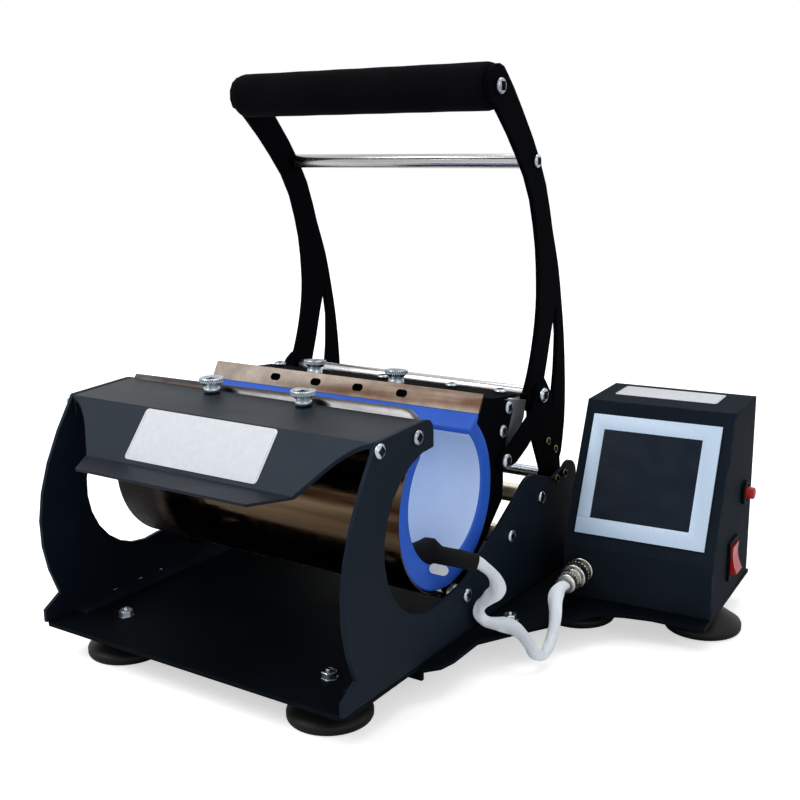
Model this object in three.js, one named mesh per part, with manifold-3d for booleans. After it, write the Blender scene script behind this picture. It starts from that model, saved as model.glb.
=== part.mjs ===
// Double mug heat press: a sheet steel frame on rubber feet, a split stainless drum that holds a
// silicone heating mat, a toggle handle that closes the rear half, and a control box on a side plate.
// Millimetres. X runs along the mug axis, Y to the rear, Z up.

import * as THREE from 'three';
import { mergeVertices } from 'three/addons/utils/BufferGeometryUtils.js';
import Module from 'manifold-3d';

const wasm = await Module();
wasm.setup();

// Driving dimensions of the press
const pressWidth = 280;
const baseDepth = 345;
const baseSheet = 3;
const baseCorner = 5;
const frameSheet = 3;
const frameTop = 175;
const fitGap = 0.3;
const slideGap = 1;
const overrun = 2;

// The heating drum: outer circle of the mat, seen along X
const drum = { y: 141, z: 105 };
const matRadius = 64.8;
const matBore = 50.2;
const matBoreRise = 4;
const matHalfLength = 130.8;
const matMouthAngle = 48;
const shellSheet = 1.2;
const shellGap = 1;

// Pivots and cross members, seen along X
const jawPivot = { y: 152.6, z: 31.5 };
const middleTube = { y: 220.9, z: 55.9 };
const rearTube = { y: 272.4, z: 73.3 };
const shaftPivot = { y: 325, z: 76.5 };
const apexPivot = { y: 291.5, z: 153.4 };
const footPivot = { y: 228.5, z: 113.2 };
const gripAxis = { y: 230, z: 393.5 };
const handleRodAxis = { y: 292, z: 339 };

// Inner faces of the plates, counted from the middle of the press
const armFace = 118;
const armSheet = 4;
const bracketFace = 122.4;
const bracketSheet = 2;
const jawFace = 124.7;
const jawSheet = 2;
const linkFace = 127.4;
const linkSheet = 3;
const crankFace = 122.3;
const crankSheet = 3;

// Rods, tubes and screws
const jawTubeRadius = 6.5;
const spacerTubeRadius = 7.5;
const spacerTubeBore = 3.2;
const pivotShaftRadius = 5;
const handleRodRadius = 5.8;
const apexRodRadius = 6;
const gripRadius = 17.5;
const gripTubeRadius = 11;
const gripTubeBore = 9.5;
const pinRadius = 4;
const pinHead = { radius: 6, height: 3.6 };
const turnSides = 24;
const tubeSides = 20;
const pinSides = 16;

// Control box, from its front left corner
const boxPlace = { x: 165.81, y: 262.98, turn: 4.13 };
const boxWidth = 118.3;
const boxDepth = 117.8;
const boxHeight = 150;
const boxSillHeight = 43;
const boxTopStart = 48.7;
const boxSheet = 1.5;

const footHeight = 25;
const footRadius = 30;

// Finishes
const finish = (color, roughness, metalness) =>
  new THREE.MeshStandardMaterial({ color, roughness, metalness });
const blackPaint = finish(0x24262b, 0.45, 0.1);
const hoodPaint = finish(0x3a3e45, 0.4, 0.1);
const stainless = finish(0x9c9184, 0.18, 0.95);
const chrome = finish(0xd8d9dc, 0.12, 1);
const zinc = finish(0xb9bec4, 0.3, 0.95);
const creamSteel = finish(0xcfc8b8, 0.35, 0.6);
const foam = finish(0x141519, 0.9, 0);
const rubber = finish(0x17171a, 0.75, 0);
const blueSilicone = finish(0x1d5fc4, 0.55, 0);
const blackPlastic = finish(0x18191c, 0.4, 0);
const glossBlack = finish(0x0b0c0f, 0.08, 0);
const paleFilm = finish(0xdfe9f6, 0.3, 0);
const redPlastic = finish(0xc4202a, 0.3, 0);
const boardGreen = finish(0x1e5a34, 0.6, 0);
const glassSleeve = finish(0xe4e7ec, 0.8, 0);
const blackSleeve = finish(0x1b1c1f, 0.7, 0);

// Geometry helpers
const degrees = THREE.MathUtils.degToRad;
const arcSteps = 7;
const flat = (shape, depth, curveSegments = arcSteps) =>
  new THREE.ExtrudeGeometry(shape, { depth, bevelEnabled: false, curveSegments });

const solidOf = (geometry) => {
  const bare = geometry.clone();
  bare.deleteAttribute('normal');
  bare.deleteAttribute('uv');
  const merged = mergeVertices(bare);
  const vertProperties = new Float32Array(merged.attributes.position.array);
  const triVerts = new Uint32Array(merged.index.array);
  return new wasm.Manifold(new wasm.Mesh({ numProp: 3, vertProperties, triVerts }));
};

const geometryOf = (solid) => {
  const mesh = solid.getMesh();
  const geometry = new THREE.BufferGeometry();
  geometry.setAttribute('position', new THREE.BufferAttribute(new Float32Array(mesh.vertProperties), 3));
  geometry.setIndex(new THREE.BufferAttribute(new Uint32Array(mesh.triVerts), 1));
  const faceted = geometry.toNonIndexed();
  faceted.computeVertexNormals();
  return faceted;
};

const joined = (...geometries) =>
  geometryOf(geometries.map(solidOf).reduce((sum, next) => sum.add(next)));
const cut = (body, ...cutters) =>
  geometryOf(cutters.map(solidOf).reduce((rest, next) => rest.subtract(next), solidOf(body)));

// A round bar along Z from one height to another
const bar = (radius, from, to, sides = tubeSides) => {
  const length = to - from;
  return new THREE.CylinderGeometry(radius, radius, length, sides)
    .rotateX(Math.PI / 2)
    .translate(0, 0, from + length / 2);
};

// A turned piece along Z from pairs of radius and height
const turned = (profile, sides = turnSides) =>
  new THREE.LatheGeometry(profile.map(([radius, along]) => new THREE.Vector2(radius, along)), sides)
    .rotateX(Math.PI / 2);

// A round tube along Z
const tube = (radius, bore, from, to, sides = tubeSides) =>
  turned([[bore, from], [radius, from], [radius, to], [bore, to], [bore, from]], sides);

const block = (x0, x1, y0, y1, z0, z1) =>
  new THREE.BoxGeometry(x1 - x0, y1 - y0, z1 - z0)
    .translate((x0 + x1) / 2, (y0 + y1) / 2, (z0 + z1) / 2);

const rectangle = (x0, x1, y0, y1) => {
  const shape = new THREE.Shape();
  shape.moveTo(x0, y0);
  shape.lineTo(x1, y0);
  shape.lineTo(x1, y1);
  shape.lineTo(x0, y1);
  shape.closePath();
  return shape;
};

const roundedRectangle = (x0, x1, y0, y1, radius) => {
  const shape = new THREE.Shape();
  shape.moveTo(x0 + radius, y0);
  shape.lineTo(x1 - radius, y0);
  shape.absarc(x1 - radius, y0 + radius, radius, -Math.PI / 2, 0);
  shape.lineTo(x1, y1 - radius);
  shape.absarc(x1 - radius, y1 - radius, radius, 0, Math.PI / 2);
  shape.lineTo(x0 + radius, y1);
  shape.absarc(x0 + radius, y1 - radius, radius, Math.PI / 2, Math.PI);
  shape.lineTo(x0, y0 + radius);
  shape.absarc(x0 + radius, y0 + radius, radius, Math.PI, Math.PI * 1.5);
  return shape;
};

// Points of an arc and of a smooth line, in the plane seen from the right
const arcPoints = (centre, radius, fromTurnShare, toTurnShare, steps) =>
  Array.from({ length: steps + 1 }, (_, i) => {
    const angle = Math.PI * (fromTurnShare + (toTurnShare - fromTurnShare) * i / steps);
    return new THREE.Vector2(
      centre.y + radius * Math.cos(angle),
      centre.z + radius * Math.sin(angle),
    );
  });
const smooth = (points, steps) => new THREE.SplineCurve(points).getPoints(steps);

const circleHole = (centre, radius) => {
  const hole = new THREE.Path();
  hole.absarc(centre.y, centre.z, radius, 0, Math.PI * 2, true);
  return hole;
};

// The cross section of a bent sheet: a line of points with the sheet on its left side
const bentSheet = (points, thickness) => {
  const inner = points.map((point, i) => {
    const before = points[Math.max(i - 1, 0)];
    const after = points[Math.min(i + 1, points.length - 1)];
    const a = (i > 0 ? point.clone().sub(before) : after.clone().sub(point)).normalize();
    const b = (i < points.length - 1 ? after.clone().sub(point) : a.clone()).normalize();
    const middle = a.clone().add(b).normalize();
    const reach = thickness / middle.dot(a);
    return new THREE.Vector2(point.x - middle.y * reach, point.y + middle.x * reach);
  });
  return new THREE.Shape([...points, ...inner.reverse()]);
};

const places = (shares, wide, tall) =>
  shares.map(([u, v]) => new THREE.Vector2(u * wide, v * tall));

// Groups: the press, and the same space seen from the right with Y across and Z up
const press = new THREE.Group();
const profile = new THREE.Group();
profile.setRotationFromMatrix(new THREE.Matrix4().makeBasis(
  new THREE.Vector3(0, 1, 0),
  new THREE.Vector3(0, 0, 1),
  new THREE.Vector3(1, 0, 0),
));
press.add(profile);

const addTo = (group, name, geometry, material) => {
  const mesh = new THREE.Mesh(geometry, material);
  mesh.name = name;
  group.add(mesh);
  return mesh;
};

const sides = { left: -1, right: 1 };

// A plate of the side assembly, once on each side of the press
const addPlates = (name, geometry, face, thickness, material) => {
  for (const [sideName, side] of Object.entries(sides)) {
    const mesh = addTo(profile, `${name}_${sideName}`, geometry, material);
    mesh.position.z = side > 0 ? face : -face - thickness;
  }
};

// A turned piece on both sides, made for the right and turned about for the left
const addPair = (name, geometry, centre, material) => {
  for (const [sideName, side] of Object.entries(sides)) {
    const mesh = addTo(profile, `${name}_${sideName}`, geometry, material);
    mesh.position.set(centre.y, centre.z, 0);
    mesh.rotation.y = side > 0 ? 0 : Math.PI;
  }
};

// Base plate
const halfWidth = pressWidth / 2;
const frameFoot = baseSheet + fitGap;
addTo(
  press,
  'base_plate',
  flat(roundedRectangle(-halfWidth, halfWidth, 0, baseDepth, baseCorner), baseSheet),
  blackPaint,
);

// Side frames: a horn that carries the hood, a round throat and a gusset up to the handle shaft
const toeShare = [-0.003, 0.074];
const waistShares = [[0.0406, 0.126], [-0.0232, 0.4], [-0.0058, 0.64], [0.1188, 0.985]];
const hornShares = [[0.281, 1], [0.313, 1], [0.313, 0.937]];
const throat = { y: 105.5, z: 96, radius: 58.5 };
const throatEndAngle = 283.5;
const gussetShares = [[0.414, 0.223], [0.478, 0.274], [0.684, 0.509], [0.719, 0.57], [0.759, 0.543]];
const gussetEndShare = [0.858, 0.48];
const shaftEye = 15;
const eyeStartAngle = 130;
const eyeEndAngle = -20;
const footFlangeEnd = 15;
const footFlange = { width: 16, from: 25, to: baseDepth - footFlangeEnd };

const sideFrameShape = () => {
  const at = ([u, v]) => [u * baseDepth, v * frameTop];
  const shape = new THREE.Shape();
  shape.moveTo(toeShare[0] * baseDepth, frameFoot);
  shape.lineTo(...at(toeShare));
  shape.lineTo(...at(waistShares[0]));
  shape.bezierCurveTo(...at(waistShares[1]), ...at(waistShares[2]), ...at(waistShares[3]));
  shape.lineTo(...at(hornShares[0]));
  shape.quadraticCurveTo(...at(hornShares[1]), ...at(hornShares[2]));
  const startAngle = Math.acos((hornShares[2][0] * baseDepth - throat.y) / throat.radius);
  shape.absarc(throat.y, throat.z, throat.radius, startAngle, degrees(throatEndAngle));
  shape.quadraticCurveTo(...at(gussetShares[0]), ...at(gussetShares[1]));
  shape.lineTo(...at(gussetShares[2]));
  shape.quadraticCurveTo(...at(gussetShares[3]), ...at(gussetShares[4]));
  shape.lineTo(...at(gussetEndShare));
  shape.absarc(
    shaftPivot.y, shaftPivot.z, shaftEye, degrees(eyeStartAngle), degrees(eyeEndAngle), true,
  );
  shape.lineTo(baseDepth, frameFoot);
  return shape;
};

for (const [sideName, side] of Object.entries(sides)) {
  const innerFace = halfWidth - frameSheet;
  const flangeInner = innerFace - footFlange.width;
  const plate = flat(sideFrameShape(), frameSheet).translate(0, 0, side > 0 ? innerFace : -halfWidth);
  const flange = block(
    footFlange.from, footFlange.to,
    frameFoot, frameFoot + frameSheet,
    side > 0 ? flangeInner : -innerFace - frameSheet / 2,
    side > 0 ? innerFace + frameSheet / 2 : -flangeInner,
  );
  addTo(profile, `side_frame_${sideName}`, joined(plate, flange), blackPaint);
}

// Cross tubes between the side frames; the front one is also the hinge of the rear half
const innerReach = halfWidth - frameSheet - fitGap;
const addCrossTube = (name, centre, radius) => {
  const mesh = addTo(
    profile, name, tube(radius, spacerTubeBore, -innerReach, innerReach), creamSteel,
  );
  mesh.position.set(centre.y, centre.z, 0);
};
addCrossTube('spacer_tube_front', jawPivot, jawTubeRadius);
addCrossTube('spacer_tube_middle', middleTube, spacerTubeRadius);
addCrossTube('spacer_tube_rear', rearTube, spacerTubeRadius);
addTo(profile, 'pivot_shaft', bar(pivotShaftRadius, -innerReach, innerReach), zinc)
  .position.set(shaftPivot.y, shaftPivot.z, 0);

// Hood over the front half: top panel, sloping front and a lip bent out as a finger guard
const hoodSheet = 2;
const hoodRear = { y: 97.3, z: 174.7 };
const hoodTopFront = { y: 41, z: 172 };
const hoodBend = { y: 13.1, z: 137.6 };
const hoodLip = { y: -12.8, z: 136.7 };
const hoodWidth = { bend: 95.1, lip: 76, corner: 127 };
const hoodTab = { from: 36, to: 94, drop: 16 };
const thumbScrew = { x: 43, y: 91, hole: 3.4, radius: 3 };

const hoodSection = bentSheet([
  new THREE.Vector2(hoodLip.y, hoodLip.z - hoodSheet),
  new THREE.Vector2(hoodBend.y, hoodBend.z - hoodSheet),
  new THREE.Vector2(hoodTopFront.y, hoodTopFront.z - hoodSheet),
  new THREE.Vector2(hoodRear.y, hoodRear.z - hoodSheet),
], hoodSheet);

const hoodEndCutter = (side) => {
  const beyond = pressWidth;
  const shape = new THREE.Shape();
  shape.moveTo(side * beyond, hoodTopFront.y - slideGap);
  shape.lineTo(side * halfWidth, hoodTopFront.y - slideGap);
  shape.quadraticCurveTo(
    side * hoodWidth.corner, hoodTopFront.y - slideGap,
    side * (hoodWidth.corner + hoodWidth.bend) / 2, (hoodTopFront.y + hoodBend.y) / 2,
  );
  shape.lineTo(side * hoodWidth.bend, hoodBend.y);
  shape.lineTo(side * hoodWidth.lip, hoodLip.y - overrun);
  shape.lineTo(side * beyond, hoodLip.y - overrun);
  return flat(shape, frameTop);
};

const hoodBody = () => {
  const sheetBar = flat(hoodSection, innerReach * 2)
    .translate(0, 0, -innerReach)
    .applyMatrix4(profile.matrixWorld);
  const tabs = Object.values(sides).map((side) => {
    const outer = side * innerReach;
    const inner = side * (innerReach - hoodSheet);
    return block(
      Math.min(outer, inner), Math.max(outer, inner),
      hoodTab.from + hoodSheet * 2, hoodTab.to,
      hoodTopFront.z - hoodTab.drop, hoodTopFront.z - hoodSheet / 2,
    );
  });
  const holes = Object.values(sides).map((side) =>
    bar(thumbScrew.hole, 0, frameTop + overrun).translate(side * thumbScrew.x, thumbScrew.y, 0));
  return cut(joined(sheetBar, ...tabs), hoodEndCutter(1), hoodEndCutter(-1), ...holes);
};
profile.updateMatrixWorld(true);
addTo(press, 'front_hood', hoodBody(), hoodPaint);

// Half shells of the drum: mirror finish stainless, rolled round the mat
const shellBore = matRadius + shellGap;
const shellOuter = shellBore + shellSheet;
const shellShape = (fromAngle, toAngle) => {
  const shape = new THREE.Shape();
  const from = degrees(fromAngle);
  const to = degrees(toAngle);
  shape.absarc(drum.y, drum.z, shellOuter, from, to);
  shape.absarc(drum.y, drum.z, shellBore, to, from, true);
  return shape;
};
const shellSteps = 14;
const shellEndGap = 3.7;
const frontShell = { fromAngle: 133, toAngle: 262, halfLength: innerReach - shellEndGap };
const rearShell = { fromAngle: -70, toAngle: 44, halfLength: jawFace - fitGap };
addTo(
  profile,
  'front_shell',
  flat(shellShape(frontShell.fromAngle, frontShell.toAngle), frontShell.halfLength * 2, shellSteps),
  stainless,
).position.z = -frontShell.halfLength;
addTo(
  profile,
  'rear_shell',
  flat(shellShape(rearShell.fromAngle, rearShell.toAngle), rearShell.halfLength * 2, shellSteps),
  stainless,
).position.z = -rearShell.halfLength;

// Heating mat: a silicone ring, open at the top and thinner towards its two clamped ends. The
// rear end is drawn up to its clamp strip.
const matTipShares = [[0.642, 0.826], [0.509, 0.699]];
const matShape = () => {
  const shape = new THREE.Shape();
  const from = degrees(180 - matMouthAngle);
  const to = degrees(360 + matMouthAngle);
  shape.absarc(drum.y, drum.z, matRadius, from, to);
  for (const [u, v] of matTipShares) shape.lineTo(drum.y + u * matRadius, drum.z + v * matRadius);
  shape.absarc(drum.y, drum.z + matBoreRise, matBore, to, from, true);
  return shape;
};
addTo(profile, 'heating_mat', flat(matShape(), matHalfLength * 2, turnSides), blueSilicone)
  .position.z = -matHalfLength;

// Front clamp strip: under the hood, with its rear edge turned up against the mat
const clampSheet = 1.5;
const frontClamp = { from: 62, bend: 96, rise: 6.5, run: 7, halfLength: frontShell.halfLength };
const frontClampTop = hoodTopFront.z - hoodSheet - fitGap;
const frontClampSection = bentSheet([
  new THREE.Vector2(frontClamp.from, frontClampTop - clampSheet),
  new THREE.Vector2(frontClamp.bend, frontClampTop - clampSheet),
  new THREE.Vector2(frontClamp.bend + frontClamp.run, frontClampTop - clampSheet + frontClamp.rise),
], clampSheet);
addTo(
  press,
  'front_clamp_strip',
  cut(
    flat(frontClampSection, frontClamp.halfLength * 2)
      .translate(0, 0, -frontClamp.halfLength)
      .applyMatrix4(profile.matrixWorld),
    ...Object.values(sides).map((side) =>
      bar(thumbScrew.hole, 0, frameTop).translate(side * thumbScrew.x, thumbScrew.y, 0)),
  ),
  stainless,
);

// Rear half: end plates hinged on the front cross tube, with a bracket out to the link
const jawInner = matRadius + slideGap;
const jawEye = 11;
const jawEyeTurnShares = [0.86, 1.9];
const jawTopAngle = 48;
const jawEndAngle = -79;
const jawShares = {
  top: [[0.849, 1], [1.463, 0.846]],
  corner: [[1.69, 0.79], [1.645, 0.68]],
  rear: [[1.474, 0.319], [1.412, 0.123], [1.42, -0.154], [1.381, -0.386]],
  heel: [[1.25, -0.5], [0.93, -0.78], [0.55, -1.03]],
};
const fromDrum = ([u, v]) =>
  new THREE.Vector2(drum.y + u * matRadius, drum.z + v * matRadius);
const jawShape = () => {
  const shape = new THREE.Shape();
  const start = degrees(jawTopAngle);
  const [top, topEnd] = jawShares.top.map(fromDrum);
  const [bend, rearTop] = jawShares.corner.map(fromDrum);
  const [heelBend, heelEnd, toe] = jawShares.heel.map(fromDrum);
  shape.moveTo(drum.y + jawInner * Math.cos(start), drum.z + jawInner * Math.sin(start));
  shape.absarc(drum.y, drum.z, jawInner, start, degrees(jawEndAngle), true);
  const [eyeStart, eyeEnd] = jawEyeTurnShares.map((share) => share * Math.PI);
  shape.absarc(jawPivot.y, jawPivot.z, jawEye, eyeStart, eyeEnd);
  shape.lineTo(toe.x, toe.y);
  shape.lineTo(heelEnd.x, heelEnd.y);
  const rear = jawShares.rear.map(fromDrum).reverse();
  shape.quadraticCurveTo(heelBend.x, heelBend.y, rear[0].x, rear[0].y);
  for (const point of rear.slice(1)) shape.lineTo(point.x, point.y);
  shape.lineTo(rearTop.x, rearTop.y);
  shape.quadraticCurveTo(bend.x, bend.y, topEnd.x, topEnd.y);
  shape.lineTo(top.x, top.y);
  shape.closePath();
  shape.holes.push(circleHole(jawPivot, jawTubeRadius + fitGap));
  return shape;
};
addPlates('jaw_plate', flat(jawShape(), jawSheet), jawFace, jawSheet, blackPaint);

const bracketShares = [
  [1.312, 0.853], [1.25, 0.355], [1.574, 0.309], [1.96, 0.525], [2.07, 0.725], [1.62, 0.825],
];
const bracketShape = new THREE.Shape(bracketShares.map(fromDrum));
addPlates('jaw_bracket', flat(bracketShape, bracketSheet), bracketFace, bracketSheet, stainless);

// Rear clamp: a slotted lip along the mat's end and a top plate behind it
const lip = { y: 187.4, z: 158.8, width: 15.5, lean: 60, halfLength: matHalfLength - fitGap };
const lipSlot = { length: 10, height: 6, firstX: -63.9, pitch: 41.5, rise: 8, count: 4 };
const slotShape = (middle) => {
  const half = lipSlot.length / 2 - lipSlot.height / 2;
  const radius = lipSlot.height / 2;
  const slot = new THREE.Path();
  slot.absarc(middle + half, lipSlot.rise, radius, Math.PI / 2, -Math.PI / 2, true);
  slot.absarc(middle - half, lipSlot.rise, radius, -Math.PI / 2, Math.PI / 2, true);
  return slot;
};
const lipShape = rectangle(-lip.halfLength, lip.halfLength, 0, lip.width);
for (let i = 0; i < lipSlot.count; i += 1) {
  lipShape.holes.push(slotShape(lipSlot.firstX + i * lipSlot.pitch));
}
const lipMesh = addTo(press, 'rear_clamp_strip', flat(lipShape, clampSheet), stainless);
lipMesh.position.set(0, lip.y, lip.z);
lipMesh.rotation.x = degrees(lip.lean);

const topPlate = {
  from: 200.5, to: 258, z: 163, sheet: 2, slope: -5, halfLength: jawFace - fitGap,
};
const rearThumb = { along: 12, x: 40.5 };
const topPlateShape = rectangle(-topPlate.halfLength, topPlate.halfLength, 0, topPlate.to - topPlate.from);
for (const side of Object.values(sides)) {
  topPlateShape.holes.push(circleHole({ y: side * rearThumb.x, z: rearThumb.along }, thumbScrew.hole));
}
const topMesh = addTo(press, 'rear_top_plate', flat(topPlateShape, topPlate.sheet), blackPaint);
topMesh.position.set(0, topPlate.from, topPlate.z);
topMesh.rotation.x = degrees(topPlate.slope);

// Thumb screws: a broad knurled head on a cone, a waist and a collar over a threaded shank
const thumbHead = { radius: 9.2, rim: 3.5, cone: 3, waist: 5, waistHeight: 1, collar: 6.3 };
const thumbGeometry = (shank, collarHeight) => {
  const coneFoot = collarHeight + thumbHead.waistHeight;
  const rimFoot = coneFoot + thumbHead.cone;
  const top = rimFoot + thumbHead.rim;
  return turned([
    [0, -shank],
    [thumbScrew.radius, -shank],
    [thumbScrew.radius, 0],
    [thumbHead.collar, 0],
    [thumbHead.collar, collarHeight],
    [thumbHead.waist, collarHeight],
    [thumbHead.waist, coneFoot],
    [thumbHead.radius, rimFoot],
    [thumbHead.radius, top],
    [0, top],
  ], pinSides);
};
const frontCollarHeight = 3.5;
const rearCollarHeight = 7.2;
const frontThumbSeat = hoodTopFront.z
  + (hoodRear.z - hoodTopFront.z) * (thumbScrew.y - hoodTopFront.y) / (hoodRear.y - hoodTopFront.y);
const frontThumbShank = 12;
const rearThumbShank = 8;
for (const [sideName, side] of Object.entries(sides)) {
  const front = thumbGeometry(frontThumbShank, frontCollarHeight);
  addTo(press, `thumb_screw_front_${sideName}`, front, zinc)
    .position.set(side * thumbScrew.x, thumbScrew.y, frontThumbSeat + fitGap * 2);
  const rear = addTo(
    press, `thumb_screw_rear_${sideName}`, thumbGeometry(rearThumbShank, rearCollarHeight), zinc,
  );
  const tilt = degrees(topPlate.slope);
  const above = topPlate.sheet + fitGap;
  rear.position.set(
    side * rearThumb.x,
    topPlate.from + rearThumb.along * Math.cos(tilt) - above * Math.sin(tilt),
    topPlate.z + rearThumb.along * Math.sin(tilt) + above * Math.cos(tilt),
  );
  rear.rotation.x = tilt;
}

// Handle: forked arms, crank plates outside them, grip, carrying rod and apex rod
const armShares = {
  front: [[-0.045, 0.962], [0.238, 0.882], [0.562, 0.763], [0.717, 0.628], [0.758, 0.523],
    [0.753, 0.451], [0.702, 0.374], [0.616, 0.3], [0.528, 0.25]],
  slotFront: [[0.843, 0.25], [0.92, 0.318], [0.989, 0.389], [1.073, 0.462]],
  slotRear: [[1.118, 0.377], [1.109, 0.301], [1.086, 0.245], [1.005, 0.113]],
  rear: [[1.239, 0.049], [1.291, 0.131], [1.291, 0.238], [1.246, 0.366], [1.183, 0.462],
    [1.102, 0.56], [0.98, 0.654], [0.841, 0.769], [0.591, 0.884], [0.254, 1]],
};
const armTurnShares = { apex: [0.95, 2.05], shaft: [0.9, 2.05], grip: [0.2, 1.2] };
const armOrigin = { y: footPivot.y, z: shaftPivot.z };
const armReach = gripAxis.z - shaftPivot.z;
const armSpan = shaftPivot.y - footPivot.y;
const gripEye = 16;
const apexEye = 15;
const shaftEyeOfArm = 15;
const armBoss = 8;
const sideSteps = 18;
const slotSteps = 6;
const eyeSteps = 7;
const boltHole = pinRadius + fitGap;

const armShape = () => {
  const at = (list) => list.map(([u, v]) =>
    new THREE.Vector2(armOrigin.y + u * armSpan, armOrigin.z + v * armReach));
  return new THREE.Shape([
    ...smooth(at(armShares.front), sideSteps),
    ...arcPoints(apexPivot, apexEye, ...armTurnShares.apex, eyeSteps),
    ...smooth(at(armShares.slotFront), slotSteps),
    ...smooth(at(armShares.slotRear), slotSteps),
    ...arcPoints(shaftPivot, shaftEyeOfArm, ...armTurnShares.shaft, eyeSteps),
    ...smooth(at(armShares.rear), sideSteps),
    ...arcPoints(gripAxis, gripEye, ...armTurnShares.grip, eyeSteps),
  ]);
};

// The pivots carry bosses, which reach out to the link and to the side frame
const armPlate = () => {
  const shape = armShape();
  shape.holes.push(circleHole(gripAxis, boltHole));
  shape.holes.push(circleHole(handleRodAxis, boltHole));
  const boss = (centre, outerFace) =>
    bar(armBoss, armSheet / 2, outerFace - armFace).translate(centre.y, centre.z, 0);
  const hole = (centre, radius) =>
    bar(radius, -overrun, halfWidth - armFace).translate(centre.y, centre.z, 0);
  return cut(
    joined(
      flat(shape, armSheet),
      boss(apexPivot, linkFace - fitGap),
      boss(shaftPivot, halfWidth - frameSheet - slideGap),
    ),
    hole(apexPivot, boltHole),
    hole(shaftPivot, pivotShaftRadius + fitGap),
  );
};
const armGeometry = armPlate();
addTo(profile, 'arm_right', armGeometry, blackPaint).position.z = armFace;
const mirrored = (geometry) => geometryOf(solidOf(geometry).mirror([0, 0, 1]));
addTo(profile, 'arm_left', mirrored(armGeometry), blackPaint).position.z = -armFace;

const crankShares = {
  front: [[-0.15, -0.304], [-0.061, -0.46]],
  rear: [[0.579, -0.694], [0.402, -0.382], [0.377, -0.07], [0.189, 0.14]],
};
const crankTurnShares = { shaft: [1.1, 2.05], apex: [0.35, 1] };
const crankApexEye = 13;
const crankShape = () => {
  const reach = apexPivot.z - shaftPivot.z;
  const at = ([u, v]) =>
    new THREE.Vector2(apexPivot.y + u * reach, apexPivot.z + v * reach);
  const shape = new THREE.Shape([
    ...crankShares.front.map(at),
    ...arcPoints(shaftPivot, shaftEyeOfArm, ...crankTurnShares.shaft, eyeSteps),
    ...crankShares.rear.map(at),
    ...arcPoints(apexPivot, crankApexEye, ...crankTurnShares.apex, eyeSteps),
  ]);
  shape.holes.push(circleHole(apexPivot, armBoss + fitGap));
  shape.holes.push(circleHole(shaftPivot, armBoss + fitGap));
  return shape;
};
addPlates('crank_plate', flat(crankShape(), crankSheet), crankFace, crankSheet, blackPaint);

const armInside = armFace - fitGap;
addTo(profile, 'handle_rod', bar(handleRodRadius, -armInside, armInside), chrome)
  .position.set(handleRodAxis.y, handleRodAxis.z, 0);
addTo(profile, 'apex_rod', bar(apexRodRadius, -armInside, armInside), chrome)
  .position.set(apexPivot.y, apexPivot.z, 0);
addTo(profile, 'grip_tube', tube(gripTubeRadius, gripTubeBore, -armInside, armInside), zinc)
  .position.set(gripAxis.y, gripAxis.z, 0);
const foamEdge = 2.5;
const foamEnd = armInside - fitGap;
const foamBore = gripTubeRadius + fitGap;
addTo(profile, 'grip_foam', turned([
  [foamBore, -foamEnd],
  [gripRadius - foamEdge, -foamEnd],
  [gripRadius, -foamEnd + foamEdge],
  [gripRadius, foamEnd - foamEdge],
  [gripRadius - foamEdge, foamEnd],
  [foamBore, foamEnd],
  [foamBore, -foamEnd],
]), foam).position.set(gripAxis.y, gripAxis.z, 0);

// Screws and pins through the side plates
const headShares = { rim: 0.55, crown: 0.72 };
const headed = (from, seat) => turned([
  [0, from],
  [pinRadius, from],
  [pinRadius, seat],
  [pinHead.radius, seat],
  [pinHead.radius, seat + pinHead.height * headShares.rim],
  [pinHead.radius * headShares.crown, seat + pinHead.height],
  [0, seat + pinHead.height],
], pinSides);
addPair('apex_screw', headed(armFace, linkFace + linkSheet + fitGap), apexPivot, zinc);
addPair('grip_screw', headed(armFace, armFace + armSheet + fitGap), gripAxis, zinc);

// Links from the apex down to the rear half, bowed away from the drum
const linkEye = 8.5;
const linkShares = {
  front: [[0.897, 0.045], [0.74, -0.004], [0.597, 0.01], [0.417, 0.021], [0.175, 0.047]],
  rear: [[0.05, -0.14], [0.186, -0.209], [0.443, -0.249], [0.593, -0.252], [0.873, -0.211]],
};
const linkTurnShares = { foot: [0.55, 1.3], apex: [-0.3, 0.75] };
const linkShape = () => {
  const run = new THREE.Vector2(apexPivot.y - footPivot.y, apexPivot.z - footPivot.z);
  const foot = new THREE.Vector2(footPivot.y, footPivot.z);
  const at = ([u, v]) => new THREE.Vector2(run.x * u - run.y * v, run.y * u + run.x * v).add(foot);
  const lean = run.angle() / Math.PI;
  const turn = (shares) => shares.map((share) => share + lean);
  const shape = new THREE.Shape([
    ...linkShares.front.map(at),
    ...arcPoints(footPivot, linkEye, ...turn(linkTurnShares.foot), eyeSteps),
    ...linkShares.rear.map(at),
    ...arcPoints(apexPivot, linkEye, ...turn(linkTurnShares.apex), eyeSteps),
  ]);
  shape.holes.push(circleHole(apexPivot, boltHole));
  shape.holes.push(circleHole(footPivot, boltHole));
  return shape;
};
addPlates('link', flat(linkShape(), linkSheet), linkFace, linkSheet, blackPaint);
addPair(
  'link_pin',
  headed(jawFace + jawSheet + fitGap, linkFace + linkSheet + fitGap),
  footPivot,
  zinc,
);

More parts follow.
